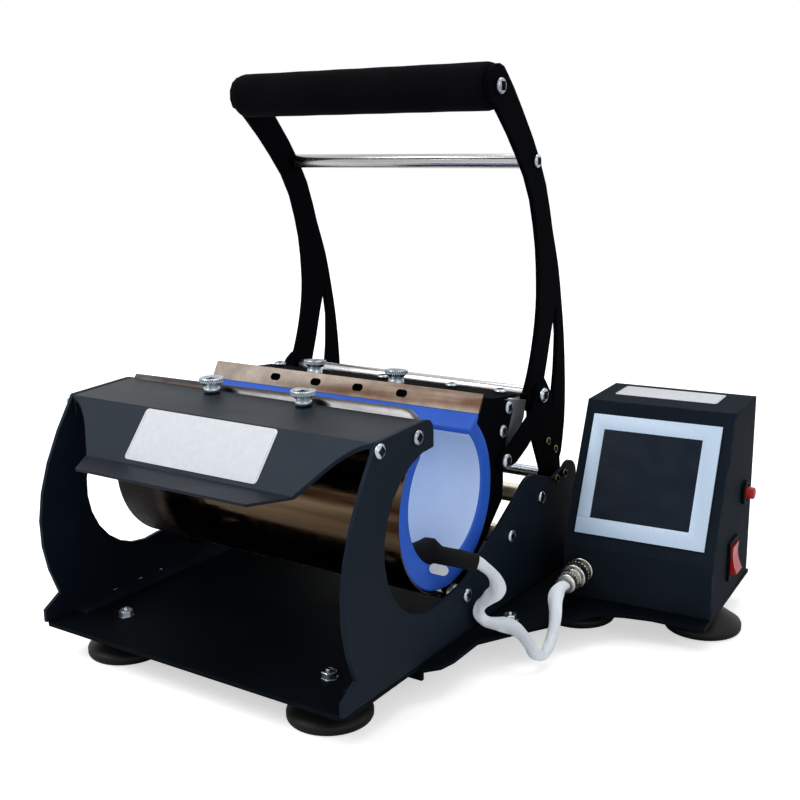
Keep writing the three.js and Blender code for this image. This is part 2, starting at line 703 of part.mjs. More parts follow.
// Carrier plate from under the base out to the control box
const carrierSheet = 3;
const carrierTop = -fitGap;
const carrierFlange = { height: 9, right: 141 };
const carrierShares = [
  [0.394, 0.234], [0.497, 0.234], [0.528, 0.263], [0.537, 0.299], [0.535, 0.39], [0.581, 0.453],
  [0.724, 0.634], [0.788, 0.654], [0.857, 0.666], [1.001, 0.67],
  [0.971, 1.033], [0.542, 1.006], [0.394, 0.888],
];
const carrierPoints = places(carrierShares, boxPlace.x + boxWidth, boxPlace.y + boxDepth);
const carrierBody = flat(new THREE.Shape(carrierPoints), carrierSheet)
  .translate(0, 0, carrierTop - carrierSheet);
const carrierFront = carrierPoints[0];
const flangeStrip = block(
  carrierFront.x, carrierFlange.right,
  carrierFront.y, carrierFront.y + carrierSheet,
  carrierTop - carrierFlange.height, carrierTop - carrierSheet / 2,
);
addTo(press, 'carrier_plate', joined(carrierBody, flangeStrip), blackPaint);

// Rubber feet: a broad rim that rises to a narrow neck under the plate
const footShares = [[0.93, 0], [1, 0.08], [1, 0.24], [0.72, 0.5], [0.4, 0.75]];
const footNeck = 10;
const footOutline = places(footShares, footRadius, footHeight).map(({ x, y }) => [x, y]);
const addFoot = (name, x, y, under) => {
  const height = under + footHeight;
  addTo(press, name, turned(
    [[0, 0], ...footOutline, [footNeck, height], [0, height]], tubeSides,
  ), rubber).position.set(x, y, -footHeight);
};
const underBase = -fitGap;
const underCarrier = carrierTop - carrierSheet - fitGap;
const rearFootInset = 40;
const baseFeet = { left: -96, right: 98, front: 40.5, rear: baseDepth - rearFootInset };
for (const end of ['front', 'rear']) {
  for (const side of ['left', 'right']) {
    addFoot(`foot_${end}_${side}`, baseFeet[side], baseFeet[end], underBase);
  }
}
const boxFeet = {
  left: { inset: 4.7, back: 20 },
  right: { inset: 20.1, back: 51 },
};
addFoot('foot_box_left', boxPlace.x + boxFeet.left.inset, boxPlace.y + boxFeet.left.back, underCarrier);
addFoot(
  'foot_box_right',
  boxPlace.x + boxWidth - boxFeet.right.inset,
  boxPlace.y + boxFeet.right.back,
  underCarrier,
);

// Control box: a folded tray with two cheeks, and a cover folded over front, top and back
const box = new THREE.Group();
const boxTurn = degrees(boxPlace.turn);
box.position.set(boxPlace.x, boxPlace.y, 0);
box.rotation.z = boxTurn;
press.add(box);
const boxProfile = new THREE.Group();
boxProfile.quaternion.copy(profile.quaternion);
box.add(boxProfile);

const faceLean = Math.atan2(boxHeight - boxSillHeight, boxTopStart);
const boxOuter = (inset) => {
  const sillRise = inset * Math.tan((Math.PI / 2 - faceLean) / 2);
  const topRun = inset * Math.tan(faceLean / 2);
  return [
    new THREE.Vector2(inset, 0),
    new THREE.Vector2(inset, boxSillHeight - sillRise),
    new THREE.Vector2(boxTopStart + topRun, boxHeight - inset),
    new THREE.Vector2(boxDepth - inset, boxHeight - inset),
    new THREE.Vector2(boxDepth - inset, 0),
  ];
};
const coverSection = bentSheet(boxOuter(0).reverse(), boxSheet);
const socketPlace = { x: 14.5, z: 22, hole: 8 };
const inletPlace = { x: 40, z: 40, width: 27, height: 20, flange: 5 };
const coverGeometry = cut(
  flat(coverSection, boxWidth).applyMatrix4(profile.matrixWorld),
  bar(socketPlace.hole + fitGap, -overrun - boxSheet, overrun)
    .rotateX(Math.PI / 2).translate(socketPlace.x, 0, socketPlace.z),
  block(
    inletPlace.x, inletPlace.x + inletPlace.width,
    boxDepth - boxSheet * 2, boxDepth + overrun,
    inletPlace.z, inletPlace.z + inletPlace.height,
  ),
);
addTo(box, 'control_box_cover', coverGeometry, blackPaint);

const cheekInset = boxSheet + fitGap;
const cheekShape = new THREE.Shape(boxOuter(cheekInset));
const cheek = flat(cheekShape, boxSheet).applyMatrix4(profile.matrixWorld);
const rockerRearGap = 61.8;
const breakerRearGap = 29.8;
const rockerPlace = { y: boxDepth - rockerRearGap, z: 32, width: 21, height: 27 };
const breakerPlace = { y: boxDepth - breakerRearGap, z: 77 };
const breaker = { ring: 10, ringHeight: 3, thread: 7, bore: 5.2, depth: 12 };
const rightWall = boxWidth - boxSheet;
const rockerWindow = block(
  rightWall - overrun, boxWidth + overrun,
  rockerPlace.y - rockerPlace.width / 2, rockerPlace.y + rockerPlace.width / 2,
  rockerPlace.z - rockerPlace.height / 2, rockerPlace.z + rockerPlace.height / 2,
);
const alongX = (geometry) => geometry.rotateY(Math.PI / 2);
const breakerHole = alongX(bar(breaker.thread + fitGap, rightWall - overrun, boxWidth + overrun))
  .translate(0, breakerPlace.y, breakerPlace.z);
addTo(box, 'control_box_body', cut(
  joined(
    cheek,
    cheek.clone().translate(rightWall, 0, 0),
    block(boxSheet / 2, boxWidth - boxSheet / 2, cheekInset, boxDepth - cheekInset, 0, boxSheet),
  ),
  rockerWindow,
  breakerHole,
), blackPaint);

// Control board on standoffs, with its transformer
const board = { x0: 22, x1: 96, y0: 22, y1: 96, lift: 6, sheet: 1.6, post: 3 };
const transformer = { x0: 34, x1: 76, y0: 36, y1: 72, height: 32 };
const boardFloor = boxSheet + fitGap;
const boardPosts = [board.x0, board.x1].flatMap((x) => [board.y0, board.y1].map((y) => {
  const inward = board.post * 2;
  const px = x + (x < boxWidth / 2 ? inward : -inward);
  const py = y + (y < boxDepth / 2 ? inward : -inward);
  return bar(board.post, boardFloor, boardFloor + board.lift + board.sheet / 2).translate(px, py, 0);
}));
const boardTop = boardFloor + board.lift + board.sheet;
addTo(box, 'control_board', joined(
  block(board.x0, board.x1, board.y0, board.y1, boardTop - board.sheet, boardTop),
  ...boardPosts,
  block(transformer.x0, transformer.x1, transformer.y0, transformer.y1,
    boardTop - board.sheet / 2, boardTop + transformer.height),
), boardGreen);

// Touch panel on the sloping front
const boxFace = new THREE.Group();
boxFace.position.set(0, 0, boxSillHeight);
boxFace.rotation.x = faceLean;
box.add(boxFace);
const panel = { x0: 7.5, x1: 110, y0: 9.5, y1: 106, sheet: 1.6, corner: 3 };
const screen = { x0: 18, x1: 96.5, y0: 22.5, y1: 94, sheet: 1.2 };
const panelShape = roundedRectangle(panel.x0, panel.x1, panel.y0, panel.y1, panel.corner);
panelShape.holes.push(rectangle(screen.x0, screen.x1, screen.y0, screen.y1));
addTo(boxFace, 'touch_panel_frame', flat(panelShape, panel.sheet), paleFilm).position.z = fitGap;
addTo(
  boxFace,
  'touch_screen',
  flat(rectangle(
    screen.x0 + fitGap, screen.x1 - fitGap, screen.y0 + fitGap, screen.y1 - fitGap,
  ), screen.sheet),
  glossBlack,
).position.z = fitGap;

// Rocker switch: bezel on the cheek, rocker on a crosswise pin
const bezel = { rim: 2.2, height: 2, depth: 14, wall: 1.2 };
const rockerX = boxWidth + fitGap;
const bezelOuter = block(
  rockerX, rockerX + bezel.height,
  rockerPlace.y - rockerPlace.width / 2 - bezel.rim, rockerPlace.y + rockerPlace.width / 2 + bezel.rim,
  rockerPlace.z - rockerPlace.height / 2 - bezel.rim, rockerPlace.z + rockerPlace.height / 2 + bezel.rim,
);
const bezelTub = block(
  boxWidth - bezel.depth, rockerX + bezel.height / 2,
  rockerPlace.y - rockerPlace.width / 2 + fitGap, rockerPlace.y + rockerPlace.width / 2 - fitGap,
  rockerPlace.z - rockerPlace.height / 2 + fitGap, rockerPlace.z + rockerPlace.height / 2 - fitGap,
);
const bezelCavity = block(
  boxWidth - bezel.depth + bezel.wall, rockerX + bezel.height + overrun,
  rockerPlace.y - rockerPlace.width / 2 + bezel.wall, rockerPlace.y + rockerPlace.width / 2 - bezel.wall,
  rockerPlace.z - rockerPlace.height / 2 + bezel.wall, rockerPlace.z + rockerPlace.height / 2 - bezel.wall,
);
addTo(box, 'rocker_bezel', cut(joined(bezelOuter, bezelTub), bezelCavity), blackPlastic);

const rocker = { tilt: 9, proud: 4.2, depth: 6.5, half: 11, width: 17 };
const rockerRootShare = 0.5;
const rockerShape = () => {
  const shape = new THREE.Shape();
  const dip = rocker.half * Math.tan(degrees(rocker.tilt));
  shape.moveTo(-rocker.depth, -rocker.half * rockerRootShare);
  shape.lineTo(0, -rocker.half);
  shape.lineTo(rocker.proud, -rocker.half);
  shape.lineTo(rocker.proud - dip, 0);
  shape.lineTo(rocker.proud, rocker.half);
  shape.lineTo(0, rocker.half);
  shape.lineTo(-rocker.depth, rocker.half * rockerRootShare);
  return shape;
};
const rockerMesh = addTo(
  box,
  'power_rocker',
  flat(rockerShape(), rocker.width).translate(0, 0, -rocker.width / 2).rotateX(Math.PI / 2),
  redPlastic,
);
rockerMesh.position.set(rockerX, rockerPlace.y, rockerPlace.z);
rockerMesh.rotation.y = -degrees(rocker.tilt);

// Resettable breaker: threaded body with a ring, and its push button
const breakerBase = boxWidth + fitGap;
addTo(box, 'breaker_body', alongX(turned([
  [breaker.bore, breakerBase - breaker.depth],
  [breaker.thread, breakerBase - breaker.depth],
  [breaker.thread, breakerBase],
  [breaker.ring, breakerBase],
  [breaker.ring, breakerBase + breaker.ringHeight],
  [breaker.bore, breakerBase + breaker.ringHeight],
  [breaker.bore, breakerBase - breaker.depth],
])).translate(0, breakerPlace.y, breakerPlace.z), blackPlastic);
const button = { radius: 4.8, proud: 8, inside: 6, edge: 0.8 };
const buttonTop = breakerBase + breaker.ringHeight + button.proud;
addTo(box, 'breaker_button', alongX(turned([
  [0, breakerBase - button.inside],
  [button.radius, breakerBase - button.inside],
  [button.radius, buttonTop - button.edge],
  [button.radius - button.edge, buttonTop],
  [0, buttonTop],
])).translate(0, breakerPlace.y, breakerPlace.z), redPlastic);

// Panel socket for the heater lead and the mains inlet at the back
const forward = (geometry) => geometry.rotateX(Math.PI / 2);
const socket = { flange: 10.5, flangeHeight: 2, barrel: 7.8, depth: 10, nose: 6.5, noseLength: 6 };
addTo(box, 'panel_socket', forward(turned([
  [0, -socket.depth],
  [socket.barrel, -socket.depth],
  [socket.barrel, fitGap],
  [socket.flange, fitGap],
  [socket.flange, fitGap + socket.flangeHeight],
  [socket.nose, fitGap + socket.flangeHeight],
  [socket.nose, fitGap + socket.flangeHeight + socket.noseLength],
  [0, fitGap + socket.flangeHeight + socket.noseLength],
])).translate(socketPlace.x, 0, socketPlace.z), zinc);

const inletBack = boxDepth + fitGap;
const inletPins = { width: 20, height: 14, depth: 12 };
const inletMiddle = { x: inletPlace.x + inletPlace.width / 2, z: inletPlace.z + inletPlace.height / 2 };
addTo(box, 'mains_inlet', cut(
  joined(
    block(
      inletPlace.x - inletPlace.flange, inletPlace.x + inletPlace.width + inletPlace.flange,
      inletBack, inletBack + overrun,
      inletPlace.z - inletPlace.flange / 2, inletPlace.z + inletPlace.height + inletPlace.flange / 2,
    ),
    block(
      inletPlace.x + fitGap, inletPlace.x + inletPlace.width - fitGap,
      boxDepth - inletPins.depth - overrun, inletBack + overrun / 2,
      inletPlace.z + fitGap, inletPlace.z + inletPlace.height - fitGap,
    ),
  ),
  block(
    inletMiddle.x - inletPins.width / 2, inletMiddle.x + inletPins.width / 2,
    boxDepth - inletPins.depth, inletBack + overrun * 2,
    inletMiddle.z - inletPins.height / 2, inletMiddle.z + inletPins.height / 2,
  ),
), blackPlastic);

// Connector on the lead: coupling ring, barrel and clamp nut, screwed on the socket
const plugStart = fitGap * 2 + socket.flangeHeight + socket.noseLength;
const plug = {
  ring: 10.5, ringLength: 10, barrel: 6.5, barrelLength: 8, nut: 8.2, nutLength: 8,
};
addTo(box, 'cable_connector', forward(turned([
  [0, plugStart],
  [plug.ring, plugStart],
  [plug.ring, plugStart + plug.ringLength],
  [plug.barrel, plugStart + plug.ringLength],
  [plug.barrel, plugStart + plug.ringLength + plug.barrelLength],
  [plug.nut, plugStart + plug.ringLength + plug.barrelLength],
  [plug.nut, plugStart + plug.ringLength + plug.barrelLength + plug.nutLength],
  [0, plugStart + plug.ringLength + plug.barrelLength + plug.nutLength],
])).translate(socketPlace.x, 0, socketPlace.z), zinc);

// Heater lead: a flat sleeve out of the mat, then a glass fibre sleeved lead to the connector
const leadRadius = 4.6;
const sleeveWide = { across: 15, tall: 8 };
const straight = leadRadius * 2;
const sleeveRoute = [
  [104, 133, 67.7], [118, 130, 68.2], [131, 129, 68.4], [142, 134.5, 66.4], [148, 141, 63.4],
].map(([x, y, z]) => new THREE.Vector3(x, y, z));
const sleeveEnd = sleeveRoute.at(-1);
const sleeveWay = sleeveEnd.clone().sub(sleeveRoute.at(-2)).normalize();
const leadStart = sleeveEnd.clone().addScaledVector(sleeveWay, fitGap);
const plugEnd = plugStart + plug.ringLength + plug.barrelLength + plug.nutLength + fitGap;
box.updateMatrixWorld(true);
const behindPlug = (distance) =>
  box.localToWorld(new THREE.Vector3(socketPlace.x, -plugEnd - distance, socketPlace.z));
const leadRoute = [
  leadStart,
  leadStart.clone().addScaledVector(sleeveWay, straight),
  ...[
    [164.5, 151.5, 50], [165.5, 153, 42], [158.5, 155.5, 33], [150, 158.5, 24.5],
    [146.2, 160.5, 16.5], [149, 164, 9.5], [157, 168, 7.2], [166, 171, 6.5],
    [175, 171.5, 2.5], [182.5, 170.5, -4], [187.5, 171.5, -11], [190, 178, -13.5],
    [190, 187, -10.5], [189, 195.5, -4.5], [188, 202, 4.5], [185, 209, 13], [183.2, 214.5, 19],
  ].map(([x, y, z]) => new THREE.Vector3(x, y, z)),
  behindPlug(straight),
  behindPlug(0),
];
const leadSides = 10;
const leadSection = (radius) => {
  const shape = new THREE.Shape();
  shape.absarc(0, 0, radius, 0, Math.PI * 2);
  return shape;
};
const along = (route, section, steps) => new THREE.ExtrudeGeometry(section, {
  steps,
  bevelEnabled: false,
  curveSegments: leadSides / 2,
  extrudePath: new THREE.CatmullRomCurve3(route),
});
const sleeveCorner = 2;
const sleeveSection = roundedRectangle(
  -sleeveWide.across / 2, sleeveWide.across / 2, -sleeveWide.tall / 2, sleeveWide.tall / 2,
  sleeveCorner,
);
addTo(press, 'lead_sleeve', along(sleeveRoute, sleeveSection, 6), blackSleeve);
addTo(press, 'heater_lead', along(leadRoute, leadSection(leadRadius), 30), glassSleeve);

// Place the press with the middle of its footprint at the origin, standing on Z = 0
const model = new THREE.Group();
model.add(press);
model.updateMatrixWorld(true);
const looseNames = ['lead_sleeve', 'heater_lead', 'cable_connector'];
const extent = new THREE.Box3();
model.traverse((node) => {
  if (node.isMesh && !looseNames.includes(node.name)) extent.expandByObject(node, true);
});
const middle = extent.getCenter(new THREE.Vector3());
press.position.set(-middle.x, -middle.y, -extent.min.z);
model.updateMatrixWorld(true);

export default model;
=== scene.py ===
import math

import bmesh
import bpy
from mathutils import Matrix, Vector, noise


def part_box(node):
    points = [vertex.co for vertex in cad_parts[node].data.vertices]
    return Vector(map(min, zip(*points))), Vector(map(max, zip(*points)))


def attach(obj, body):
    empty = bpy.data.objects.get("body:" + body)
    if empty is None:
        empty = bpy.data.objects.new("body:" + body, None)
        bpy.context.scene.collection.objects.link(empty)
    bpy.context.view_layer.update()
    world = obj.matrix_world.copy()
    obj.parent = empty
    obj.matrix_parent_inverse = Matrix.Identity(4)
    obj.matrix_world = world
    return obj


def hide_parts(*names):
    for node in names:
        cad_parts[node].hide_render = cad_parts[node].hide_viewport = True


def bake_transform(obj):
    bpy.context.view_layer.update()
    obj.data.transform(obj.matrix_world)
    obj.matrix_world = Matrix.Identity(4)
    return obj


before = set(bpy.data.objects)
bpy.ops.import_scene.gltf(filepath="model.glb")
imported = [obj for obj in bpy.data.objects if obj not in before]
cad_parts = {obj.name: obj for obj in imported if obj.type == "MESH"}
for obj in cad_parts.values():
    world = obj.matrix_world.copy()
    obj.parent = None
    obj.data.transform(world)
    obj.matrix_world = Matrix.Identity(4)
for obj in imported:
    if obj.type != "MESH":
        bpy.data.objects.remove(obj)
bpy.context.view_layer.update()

# Camera: stands at the front right of the press and a little above it, and looks through a
# long lens. Its place is counted from the press's own corner, as every place below is.
shaft_low, shaft_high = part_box("pivot_shaft")
corner_to_shaft = Vector((0, 0.325, 0.0765))
press_corner = (shaft_low + shaft_high) / 2 - corner_to_shaft


def place(x, y, z):
    """A point of the press, in millimetres from the middle of its front edge."""
    return press_corner + Vector((x, y, z)) / 1000


view_turn, view_drop, view_roll = (math.radians(a) for a in (33.368, 12.898, 0.649))
ahead = Vector((
    -math.sin(view_turn) * math.cos(view_drop),
    math.cos(view_turn) * math.cos(view_drop),
    -math.sin(view_drop),
))
level = Vector((math.cos(view_turn), math.sin(view_turn), 0))
below = ahead.cross(level)
right = level * math.cos(view_roll) + below * math.sin(view_roll)
down = below * math.cos(view_roll) - level * math.sin(view_roll)
bpy.ops.object.camera_add(location=place(526.55, -519.57, 355.53))
camera = bpy.context.object
camera.name = "bench_camera"
camera.rotation_euler = Matrix((right, -down, -ahead)).transposed().to_euler()
camera.data.sensor_width = 36
camera.data.lens = 50.935
camera.data.clip_end = 30
bpy.context.scene.camera = camera
bpy.context.scene.view_settings.view_transform = "Standard"

# Studio: a pale floor that takes the shadows, a broad soft lamp at the upper left, weaker ones
# at the right and above, and an even white surround.
def start_with(primitive, name, scale=(1, 1, 1), **sizes):
    """A primitive to shape further, with its place, turn and size already in its mesh."""
    bpy.ops.object.select_all(action="DESELECT")
    primitive(**sizes)
    piece = bpy.context.object
    piece.name = piece.data.name = name
    piece.scale = scale
    bpy.ops.object.transform_apply(location=True, rotation=True, scale=True)
    return piece


def set_inputs(tree, sockets, values):
    """Gives sockets, by name or number, a constant or the link of another node's output."""
    for name, value in values.items():
        if isinstance(value, bpy.types.NodeSocket):
            tree.links.new(value, sockets[name])
        else:
            sockets[name].default_value = value


def add_node(tree, kind, inputs=None, **settings):
    """Adds a shader node and hands over its outputs."""
    made = tree.nodes.new("ShaderNode" + kind)
    for name, value in settings.items():
        setattr(made, name, value)
    set_inputs(tree, made.inputs, inputs or {})
    return made.outputs


def calc(tree, operation, first, second=0.0, **settings):
    """What one operation makes of two values."""
    return add_node(tree, "Math", {0: first, 1: second}, operation=operation, **settings)[0]


def carry_over(tree, value, low, high, new_low=0.0, new_high=1.0):
    """A value carried over from one range to another, and kept inside that."""
    return add_node(tree, "MapRange", {0: value, 1: low, 2: high, 3: new_low, 4: new_high})[0]


def new_material(name, **constants):
    """A material, its tree and its shader's sockets, with the plain values set on them."""
    material = bpy.data.materials.new(name)
    material.use_nodes = True
    shader = material.node_tree.nodes["Principled BSDF"].inputs
    for label, value in constants.items():
        shader[label.replace("_", " ")].default_value = value
    return material, material.node_tree, shader


def srgb(red, green, blue):
    """A colour as it is seen on a screen, 0 to 255, as the shader takes it."""
    return (*((c / 255 / 12.92 if c < 11 else ((c / 255 + 0.055) / 1.055) ** 2.4)
              for c in (red, green, blue)), 1)


white, shaded_white = (1, 1, 1, 1), 0.55
floor = start_with(bpy.ops.mesh.primitive_plane_add, "studio_floor", size=14)
floor_finish, floor_tree, floor_shader = new_material(
    "studio_floor_white", Base_Color=(0.86, 0.86, 0.86, 1), Roughness=0.9)
floor_seen = add_node(floor_tree, "LightPath")["Is Camera Ray"]
set_inputs(floor_tree, floor_shader, {
    "Emission Color": white,
    "Emission Strength": calc(floor_tree, "MULTIPLY", floor_seen, shaded_white)})
floor.data.materials.append(floor_finish)
lamps_aim = Vector((0, 0, 0.15))
for name, spot, size, power in (
    ("key_lamp", (-1.3, -1.5, 2.2), 1.6, 46), ("fill_lamp", (2.2, -0.9, 1.3), 1.4, 8),
    ("top_lamp", (0.1, 0.9, 2.4), 1.5, 18),
):
    bpy.ops.object.light_add(type="AREA", location=spot)
    lamp = bpy.context.object
    lamp.name = name
    lamp.data.size, lamp.data.energy = size, power
    lamp.rotation_euler = (lamps_aim - Vector(spot)).to_track_quat("-Z", "Y").to_euler()
surround = bpy.data.worlds.new("white_surround")
surround.use_nodes = True
bpy.context.scene.world = surround
sky = surround.node_tree
sky_rays = add_node(sky, "LightPath")
sky_seen = calc(sky, "MAXIMUM", sky_rays["Is Camera Ray"], sky_rays["Is Glossy Ray"])
sky_seen = calc(sky, "MAXIMUM", sky_seen, sky_rays["Is Transmission Ray"])
set_inputs(sky, sky.nodes["Background"].inputs, {
    "Color": white, "Strength": carry_over(sky, sky_seen, 0, 1, shaded_white, 1)})

# Heater lead: copper leads in a white woven glass fibre sleeve, limp and a little flattened.
# It leaves the black sleeve of the mat, hangs over the edge of the base and comes up again to
# its connector on the control box.
lead_width = 0.0092
lead_knots = [place(*knot) for knot in (
    (164.5, 151.5, 50), (165.5, 153, 42), (158.5, 155.5, 33), (150, 158.5, 24.5),
    (146.2, 160.5, 16.5), (149, 164, 9.5), (157, 168, 7.2), (166, 171, 6.5),
    (175, 171.5, 2.5), (182.5, 170.5, -4), (187.5, 171.5, -11), (190, 178, -13.5),
    (190, 187, -10.5), (189, 195.5, -4.5), (188, 202, 4.5), (185, 209, 13), (183.2, 214.5, 19),
    (183.445, 220.04, 22), (182.78, 229.21, 22),
)]
sleeve_knots = [place(*knot) for knot in (
    (104, 133, 67.7), (118, 130, 68.2), (131, 129, 68.4), (142, 134.5, 66.4), (148, 141, 63.4),
)]
sleeve_way = (sleeve_knots[-1] - sleeve_knots[-2]).normalized()
lead_start = sleeve_knots[-1] + sleeve_way * 0.0003
lead_route = [lead_start, lead_start + sleeve_way * lead_width, *lead_knots]
front_right = Vector((0.53, -0.82, 0.2))


def smooth_line(knots, per_span):
    """Points on a smooth line through the knots, close together."""
    first, last = knots[0] * 2 - knots[1], knots[-1] * 2 - knots[-2]
    every = [first, *knots, last]
    line = []
    for a, b, c, d in zip(every, every[1:], every[2:], every[3:]):
        ab, bc, cd = ((q - p).length ** 0.5 for p, q in ((a, b), (b, c), (c, d)))
        leave = ((b - a) / ab - (c - a) / (ab + bc) + (c - b) / bc) * bc
        arrive = ((c - b) / bc - (d - b) / (bc + cd) + (d - c) / cd) * bc
        for step in range(per_span):
            t = step / per_span
            line.append(
                b + leave * t
                + (c * 3 - b * 3 - leave * 2 - arrive) * t ** 2
                + (b * 2 - c * 2 + leave + arrive) * t ** 3
            )
    return [*line, knots[-1]]


def new_piece(name, mesh):
    piece = bpy.data.objects.new(name, mesh)
    bpy.context.scene.collection.objects.link(piece)
    return piece


def woven_tube(name, line, half_wide, half_thick, folds, pinch=0.0, twist=0.0):
    """A closed tube along a line, its broad side to the front right, with a UV for its weave."""
    sides, follow, lean_waves, crease_pitch, crease_round = 24, 0.2, 13, 90, 1.3
    shape = bmesh.new()
    weave = shape.loops.layers.uv.new("weave")
    along, side = 0.0, Vector((0, 0, 1)).cross(line[1] - line[0]).normalized()
    rings, reach = [], []
    for i, point in enumerate(line):
        way = (line[min(i + 1, len(line) - 1)] - line[max(i - 1, 0)]).normalized()
        across = front_right.cross(way)
        across = across if across.dot(side) > 0 else -across
        side = side.lerp(across, follow * min(1.0, across.length))
        side = (side - way * side.dot(way)).normalized()
        share = i / len(line)
        lean = Matrix.Rotation(twist * math.sin(share * lean_waves + 0.6), 3, way)
        wide, up = lean @ side, lean @ way.cross(side)
        ring = []
        for s in range(sides):
            turn = math.tau * s / sides
            x, y = math.cos(turn), math.sin(turn)
            crease = noise.noise(Vector((
                along * crease_pitch, x * crease_round, y * crease_round)))
            ring.append(shape.verts.new(point + (1 + folds * crease) * (
                wide * x * half_wide(share) + up * y * abs(y) ** pinch * half_thick(share))))
        rings.append(ring)
        reach.append(along)
        if i + 1 < len(line):
            along += (line[i + 1] - point).length
    for i, (near, far) in enumerate(zip(rings, rings[1:])):
        for s in range(sides):
            t = (s + 1) % sides
            face = shape.faces.new((near[s], near[t], far[t], far[s]))
            face.smooth = True
            for loop, (u, v) in zip(face.loops, ((s, i), (s + 1, i), (s + 1, i + 1), (s, i + 1))):
                loop[weave].uv = (u / sides, reach[v] * 10)
    for ring in (rings[0][::-1], rings[-1]):
        shape.faces.new(ring)
    bmesh.ops.recalc_face_normals(shape, faces=shape.faces)
    mesh = bpy.data.meshes.new(name)
    shape.to_mesh(mesh)
    shape.free()
    return new_piece(name, mesh)


def new_group(name, takes, gives):
    """A shader node group, what its inputs hand over inside it, and its outputs' sockets."""
    group = bpy.data.node_groups.new(name, "ShaderNodeTree")
    for way, sockets in (("INPUT", takes), ("OUTPUT", gives)):
        for label, kind, *value in sockets:
            socket = group.interface.new_socket(
                label, in_out=way, socket_type="NodeSocket" + kind)
            if value:
                socket.default_value = value[0]
    return (group, group.nodes.new("NodeGroupInput").outputs,
            group.nodes.new("NodeGroupOutput").inputs)


def mixed(tree, share, first, second):
    """One colour that turns into another by a share."""
    return add_node(tree, "Mix", {0: share, 6: first, 7: second}, data_type="RGBA")[2]


# Braid of a woven sleeve: two sets of flat strands that cross, read from the tube's own UV,
# with a painted shade in the gaps between them
braid, braid_in, braid_out = new_group(
    "braided_sleeve",
    [("Vector", "Vector"), ("Strands", "Float", 16), ("Thread", "Color"), ("Gap", "Color")],
    [("Color", "Color"), ("Height", "Float")],
)
braid_uv = add_node(braid, "SeparateXYZ", {0: braid_in["Vector"]})
braid_u, braid_v = (calc(braid, "MULTIPLY", braid_uv[axis], braid_in["Strands"]) for axis in "XY")
braid_level = carry_over(braid, calc(braid, "MAXIMUM", *(
    calc(braid, "SINE", calc(braid, "MULTIPLY", calc(braid, way, braid_u, braid_v), math.tau))
    for way in ("ADD", "SUBTRACT"))), -0.7, 1)
set_inputs(braid, braid_out, {
    "Color": mixed(braid, braid_level, braid_in["Gap"], braid_in["Thread"]),
    "Height": braid_level})


def lay_look(tree, shader, look, strength, depth, **under):
    """Puts a look's colour, height and, where it has one, roughness on a shader."""
    bump = add_node(tree, "Bump", {
        "Strength": strength, "Distance": depth, "Height": look["Height"], **under})
    set_inputs(tree, shader, {"Base Color": look["Color"], "Normal": bump[0]})
    if "Roughness" in look:
        set_inputs(tree, shader, {"Roughness": look["Roughness"]})


def woven_sleeve(name, thread, gap, roughness, strands, sheen, shine):
    """A woven sleeve's finish: thread colour, a painted shade between the strands, and a soft
    sheen.
    """
    material, tree, shader = new_material(
        name, Roughness=roughness, Sheen_Weight=sheen, Specular_IOR_Level=shine)
    lay_look(tree, shader, add_node(tree, "Group", {
        "Vector": add_node(tree, "UVMap", uv_map="weave")[0], "Strands": strands,
        "Thread": thread, "Gap": gap}, node_tree=braid), 0.5, 0.0004)
    return material


def lead_swell(share):
    """How far the limp braid has spread at a share of its length, from -1 to 1."""
    return math.sin(share * 17 - 1)


lead_line = smooth_line(lead_route, 14)
lead = woven_tube(
    "heater_lead_woven", lead_line,
    lambda share: lead_width * (0.6 + 0.09 * lead_swell(share) - 0.18 * share ** 8),
    lambda share: lead_width * (0.38 - 0.05 * lead_swell(share) + 0.08 * share ** 8),
    folds=0.2, pinch=0.9, twist=0.75,
)
# The second colour of each braid, the gap, is a painted shade between the strands
lead.data.materials.append(woven_sleeve(
    "white_glass_braid", srgb(244, 250, 255), srgb(212, 224, 238), 0.8, 26, 0.25, 0.5))
sleeve = woven_tube(
    "mat_lead_sleeve", smooth_line([*sleeve_knots, lead_start + sleeve_way * 0.006], 12),
    lambda share: 0.0066 + 0.0042 * max(0.0, min(1.0, (0.42 - share) * 9)),
    lambda share: 0.0026 + 0.0026 * min(1.0, share * 1.2),
    folds=0.08,
)
sleeve.data.materials.append(woven_sleeve(
    "black_glass_braid", srgb(9, 10, 12), srgb(4, 4, 5), 0.75, 20, 0.02, 0.15))


def carry(piece, body):
    """A piece of its own rides on a body."""
    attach(piece, body)


def cover(node, piece, body):
    """A piece stands for a CAD node, and rides where that does."""
    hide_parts(node)
    carry(piece, body)


cover("heater_lead", lead, "press_frame")
cover("lead_sleeve", sleeve, "press_frame")

# Cable connector: nickel plated brass, with a knurled coupling ring on the panel socket, a
# plain barrel and a knurled clamp nut where the lead goes in. Turned, then knurled.
def hold(piece):
    """Lets go of everything else and takes hold of one piece."""
    bpy.ops.object.select_all(action="DESELECT")
    bpy.context.view_layer.objects.active = piece
    piece.select_set(True)


def choose(piece, kind, test):
    """Into edit mode with only those vertices, edges or faces selected that pass the test."""
    hold(piece)
    bpy.ops.object.mode_set(mode="EDIT")
    bpy.ops.mesh.select_mode(type=kind)
    bpy.ops.mesh.select_all(action="DESELECT")
    shape = bmesh.from_edit_mesh(piece.data)
    for item in {"VERT": shape.verts, "EDGE": shape.edges, "FACE": shape.faces}[kind]:
        item.select = test(item)
    shape.select_flush_mode()
    bmesh.update_edit_mesh(piece.data)


def everything(item):
    return True


def end_edit(outward=False):
    """Leaves edit mode, where asked after every face is turned outward."""
    if outward:
        bpy.ops.mesh.select_all(action="SELECT")
        bpy.ops.mesh.normals_make_consistent(inside=False)
    bpy.ops.object.mode_set(mode="OBJECT")


